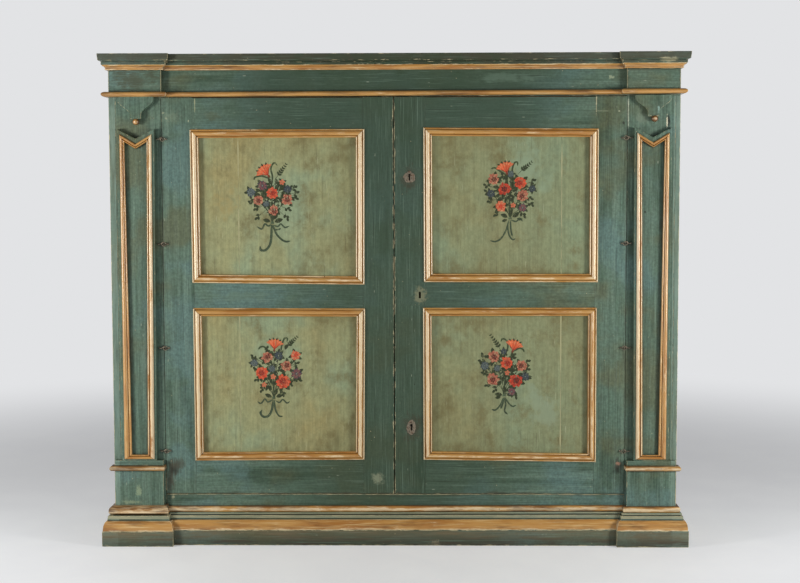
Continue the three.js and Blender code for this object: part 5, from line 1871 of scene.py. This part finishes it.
def leaf(brush, x, z, turn, length, width=None, dark=leaf_dark, light=leaf_green):
    """Two halves of a leaf, one dark and one light, with a thin rib between them."""
    width = width or length * 0.52
    bend = brush.some(-0.25, 0.25)
    tip = off(x, z, length, turn + bend * 0.5)
    for way, tones in ((1, (dark, light)), (-1, (dark, mixed(dark, light, 0.35)))):
        middle = (x + length * 0.5 * cos(turn) - way * width * 0.22 * sin(turn),
            z + length * 0.5 * sin(turn) + way * width * 0.22 * cos(turn))
        brush.stroke([(x, z), middle, tip], width * 0.62, *tones, "leaf")
    brush.stroke([(x, z), tip], 0.8, leaf_light, dark, "taper")


def spray(brush, x, z, turn, count=3, length=15):
    """A few leaves on one twig."""
    twig = off(x, z, length * 1.35, turn)
    brush.stroke([(x, z), twig], 1.4, stem_green, leaf_dark, "taper")
    for i in range(count):
        share = 0.35 + 0.65 * i / max(1, count - 1)
        place = (x + (twig[0] - x) * share, z + (twig[1] - z) * share)
        lean = 0 if i == count - 1 else (1 if i % 2 else -1) * brush.some(0.6, 1.0)
        leaf(brush, *place, turn + lean, length * brush.some(0.85, 1.15), length * 0.66)


def sprig(brush, points, leaflet=14):
    """A thin twig with pairs of leaflets that get smaller towards its tip."""
    brush.stroke(points, 2.2, stem_green, leaf_dark, "taper")
    line = through(points, 7)
    for i in range(2, 8):
        (xa, za), (xb, zb) = line[i - 1], line[i]
        ahead, size = atan2(zb - za, xb - xa), leaflet * (1.15 - 0.09 * i)
        for way in (1, -1):
            brush.around(xb, zb, ahead + way * 0.9, 0, size, size * 0.62, leaf_dark, leaf_green, "petal")


def ribbon(brush, points, width):
    width = 1.05 * width + 2.6
    brush.stroke(points, width, ribbon_dark, ribbon_dark, "line")
    brush.stroke([(x + width * 0.12, z + width * 0.12) for x, z in points], width * 0.34, ribbon_light, ribbon_dark,
        "taper")


def paint_bunch(brush, bunch):
    """Stems and leaves first, then the flowers over them, and the ribbon last."""
    heart_up = 95
    flowers = bunch["roses"] + bunch["blues"] + bunch["small"]
    for x, z, *_ in flowers:
        brush.stroke([(0, -4), (x * 0.25, z * 0.45), (x, z)], 2.2, stem_green, leaf_dark, "line")
    for x, z, size, turn in bunch["lily"]:
        brush.stroke([(0, 0), (x * 0.3, z * 0.55), (x, z)], 2.6, stem_green, leaf_green, "line")
    for points in bunch["curls"]:
        brush.stroke(points, 6.8, stem_green, leaf_green, "line")
    for points in bunch["sprigs"]:
        sprig(brush, points)
    for x, z in bunch["sprays"]:
        turn = atan2(z - heart_up, x) + brush.some(-0.3, 0.3)
        brush.stroke([(x * 0.3, (z + heart_up) / 2), (x, z)], 1.6, stem_green, leaf_dark, "line")
        spray(brush, x - 24 * cos(turn), z - 24 * sin(turn), turn)
    for x, z, length, degrees in bunch["leaves"]:
        leaf(brush, x, z, radians(degrees), length)
    for i in range(80):
        turn, reach = brush.some(0, full_turn), brush.some(0, 58)
        x, z = reach * cos(turn), heart_up + 4 + 1.1 * reach * sin(turn)
        brush.around(x, z, brush.some(0, 6), 0, brush.some(6, 12), brush.some(3, 6),
            brush.chance.choice((leaf_dark, leaf_dark, leaf_green, navy)), leaf_dark)
    for i in range(30):
        turn, reach = brush.some(0, full_turn), brush.some(4, 56)
        place = (reach * cos(turn), heart_up + 6 + reach * 1.1 * sin(turn))
        leaf(brush, *place, turn + brush.some(-0.8, 0.8), brush.some(18, 26))
    for x, z, radius, *_ in flowers:
        for turn in turns(5):
            turn += brush.some(0, 1)
            leaf(brush, *off(x, z, radius * 0.45, turn), turn, max(14, radius * 1.05))
    for kind, paint in (("blues", blue_flower), ("lily", lily), ("roses", rose), ("small", small_flower),
            ("ribbons", ribbon)):
        for row in bunch[kind]:
            paint(brush, *row)
    for lean in (-3, 0, 3):
        brush.stroke([(-7, lean - 1), (0, lean + 2), (7, lean)], 3.4, ribbon_light, ribbon_dark, "line")


# %% The four bunches
upper_left = {
    "roses": [(2, 118, 23, "coral"), (-56, 90, 21, "pink"), (60, 92, 23, "pink"), (6, 50, 21, "pink")],
    "blues": [(-38, 148, 20, "violet"), (-84, 122, 19, "slate"), (62, 134, 17, "navy"), (-24, 76, 13, "slate")],
    "small": [(40, 162, 12)], "lily": [(-16, 190, 46, 128)],
    "curls": [[(0, 150), (2, 185), (-4, 215), (8, 238), (22, 228)], [(-10, 176), (-40, 186), (-66, 182), (-72, 170)]],
    "sprigs": [[(12, 172), (28, 194), (42, 212), (56, 232)]],
    "sprays": [(-88, 84), (94, 142), (98, 96), (-66, 56), (68, 52), (-62, 20), (60, 18), (-30, 150), (100, 120)],
    "leaves": [(10, 4, 34, 20), (-8, 6, 30, 165), (6, 14, 30, 60), (-2, 150, 26, 100), (30, 140, 24, 40)],
    "ribbons": [([(-4, -6), (-16, -12), (-30, -4), (-42, -24), (-62, -14)], 3.6),
                ([(4, -8), (22, -14), (34, -4), (50, -18), (68, -12)], 3.4),
                ([(-3, -8), (-4, -48), (-10, -86), (-28, -108), (-46, -108), (-50, -92)], 6.6),
                ([(3, -8), (14, -40), (32, -62), (52, -74), (72, -72)], 5.0),
                ([(0, -8), (8, -26), (24, -26), (34, -22)], 3.0)]}
upper_right = {
    "roses": [(40, 142, 25, "coral"), (-66, 156, 22, "pink"), (-22, 116, 25, "red"), (48, 90, 23, "pink"),
              (-36, 48, 22, "peach")],
    "blues": [(-76, 98, 17, "navy"), (50, 42, 17, "violet"), (2, 176, 14, "slate"), (88, 118, 15, "navy")],
    "small": [(12, 52, 11)], "lily": [(-14, 182, 44, 106)],
    "curls": [[(14, 150), (8, 188), (16, 218), (28, 222), (30, 208)],
              [(-8, 168), (-36, 184), (-60, 200), (-76, 196)]],
    "sprigs": [[(32, 176), (50, 194), (66, 206), (84, 222)]],
    "sprays": [(-98, 132), (-30, 172), (96, 150), (84, 78), (-84, 68), (-58, 14), (56, 10), (-94, 108), (88, 52)],
    "leaves": [(10, 6, 32, 30), (-10, 4, 30, 150), (2, 12, 28, 85), (-12, -4, 22, 205), (28, 0, 22, -14)],
    "ribbons": [([(-4, -8), (-16, -48), (-36, -80), (-58, -92), (-78, -88)], 3.8),
                ([(-5, -8), (-9, -34), (-3, -66), (10, -84), (22, -80)], 3.2),
                ([(2, -8), (4, -46), (10, -72)], 3.4),
                ([(4, -6), (24, -12), (38, -2), (52, -12)], 3.0)]}
lower_left = {
    "roses": [(38, 66, 29, "coral"), (-48, 102, 25, "coral"), (-26, 164, 23, "pink"), (52, 130, 22, "pink"),
              (88, 172, 20, "peach")],
    "blues": [(20, 172, 19, "navy"), (92, 98, 22, "violet"), (-78, 142, 16, "slate"), (-6, 118, 15, "slate")],
    "small": [(-2, 86, 12), (-38, 54, 11)], "lily": [(4, 198, 42, 84)],
    "curls": [[(30, 186), (34, 214), (44, 240), (56, 240), (54, 226)],
              [(-14, 184), (-36, 206), (-52, 206), (-60, 196)]],
    "sprigs": [[(50, 196), (64, 216), (78, 230), (94, 246)]],
    "sprays": [(-74, 118), (96, 140), (-24, 202), (70, 52), (-50, 30), (38, 14), (-84, 168), (-70, 74), (104, 72)],
    "leaves": [(10, 4, 30, 24), (-8, 4, 30, 158), (4, 12, 28, 70), (46, 196, 26, 64)],
    "ribbons": [([(-3, -8), (-8, -46), (-22, -72), (-42, -76), (-54, -62), (-48, -48)], 6.2),
                ([(2, -8), (6, -46), (20, -72), (36, -74)], 3.6),
                ([(-4, -6), (-24, -16), (-36, -4), (-52, -22), (-66, -14)], 3.2),
                ([(4, -8), (22, -18), (36, -6), (52, -20), (64, -14)], 3.0)]}
lower_right = {
    "roses": [(46, 60, 27, "red"), (10, 132, 26, "coral"), (-42, 158, 24, "pink"), (70, 120, 22, "pink"),
              (-46, 66, 25, "pink")],
    "blues": [(-78, 120, 18, "slate"), (84, 76, 18, "navy"), (30, 16, 17, "violet"), (-28, 110, 14, "slate"),
              (-2, 178, 13, "navy")],
    "small": [(12, 92, 11)], "lily": [(34, 182, 44, 74)],
    "curls": [[(6, 168), (14, 196), (8, 222), (-8, 228), (-14, 216)], [(34, 176), (58, 190), (74, 186), (80, 174)]],
    "sprigs": [[(-12, 176), (-24, 200), (-38, 220), (-54, 242)]],
    "sprays": [(-86, 164), (42, 164), (-84, 92), (-70, 42), (-40, 20), (46, -6), (96, 104), (98, 138), (-96, 140)],
    "leaves": [(10, 2, 30, 10), (-8, 2, 30, 170), (2, 12, 28, 96), (-14, -4, 24, 200)],
    "ribbons": [([(-2, -8), (-6, -32), (-14, -54)], 5.0), ([(-3, -8), (-14, -36), (-34, -58), (-50, -56)], 3.4),
                ([(2, -8), (6, -36), (2, -62), (14, -76)], 3.6), ([(3, -8), (18, -30), (34, -44), (48, -38)], 3.2)]}
knots = {"upper_left": ((-0.485, 1.291), upper_left), "upper_right": ((0.461, 1.307), upper_right),
    "lower_left": ((-0.485, 0.588), lower_left), "lower_right": ((0.44, 0.598), lower_right)}
for place, (knot, bunch) in knots.items():
    brush = Brush(f"{place}_flowers", knot)
    paint_bunch(brush, bunch)
    brush.finish("left_door" if "left" in place else "right_door")
    print(place, "flowers took", round((brush.height - first_layer) / layer_step), "strokes")
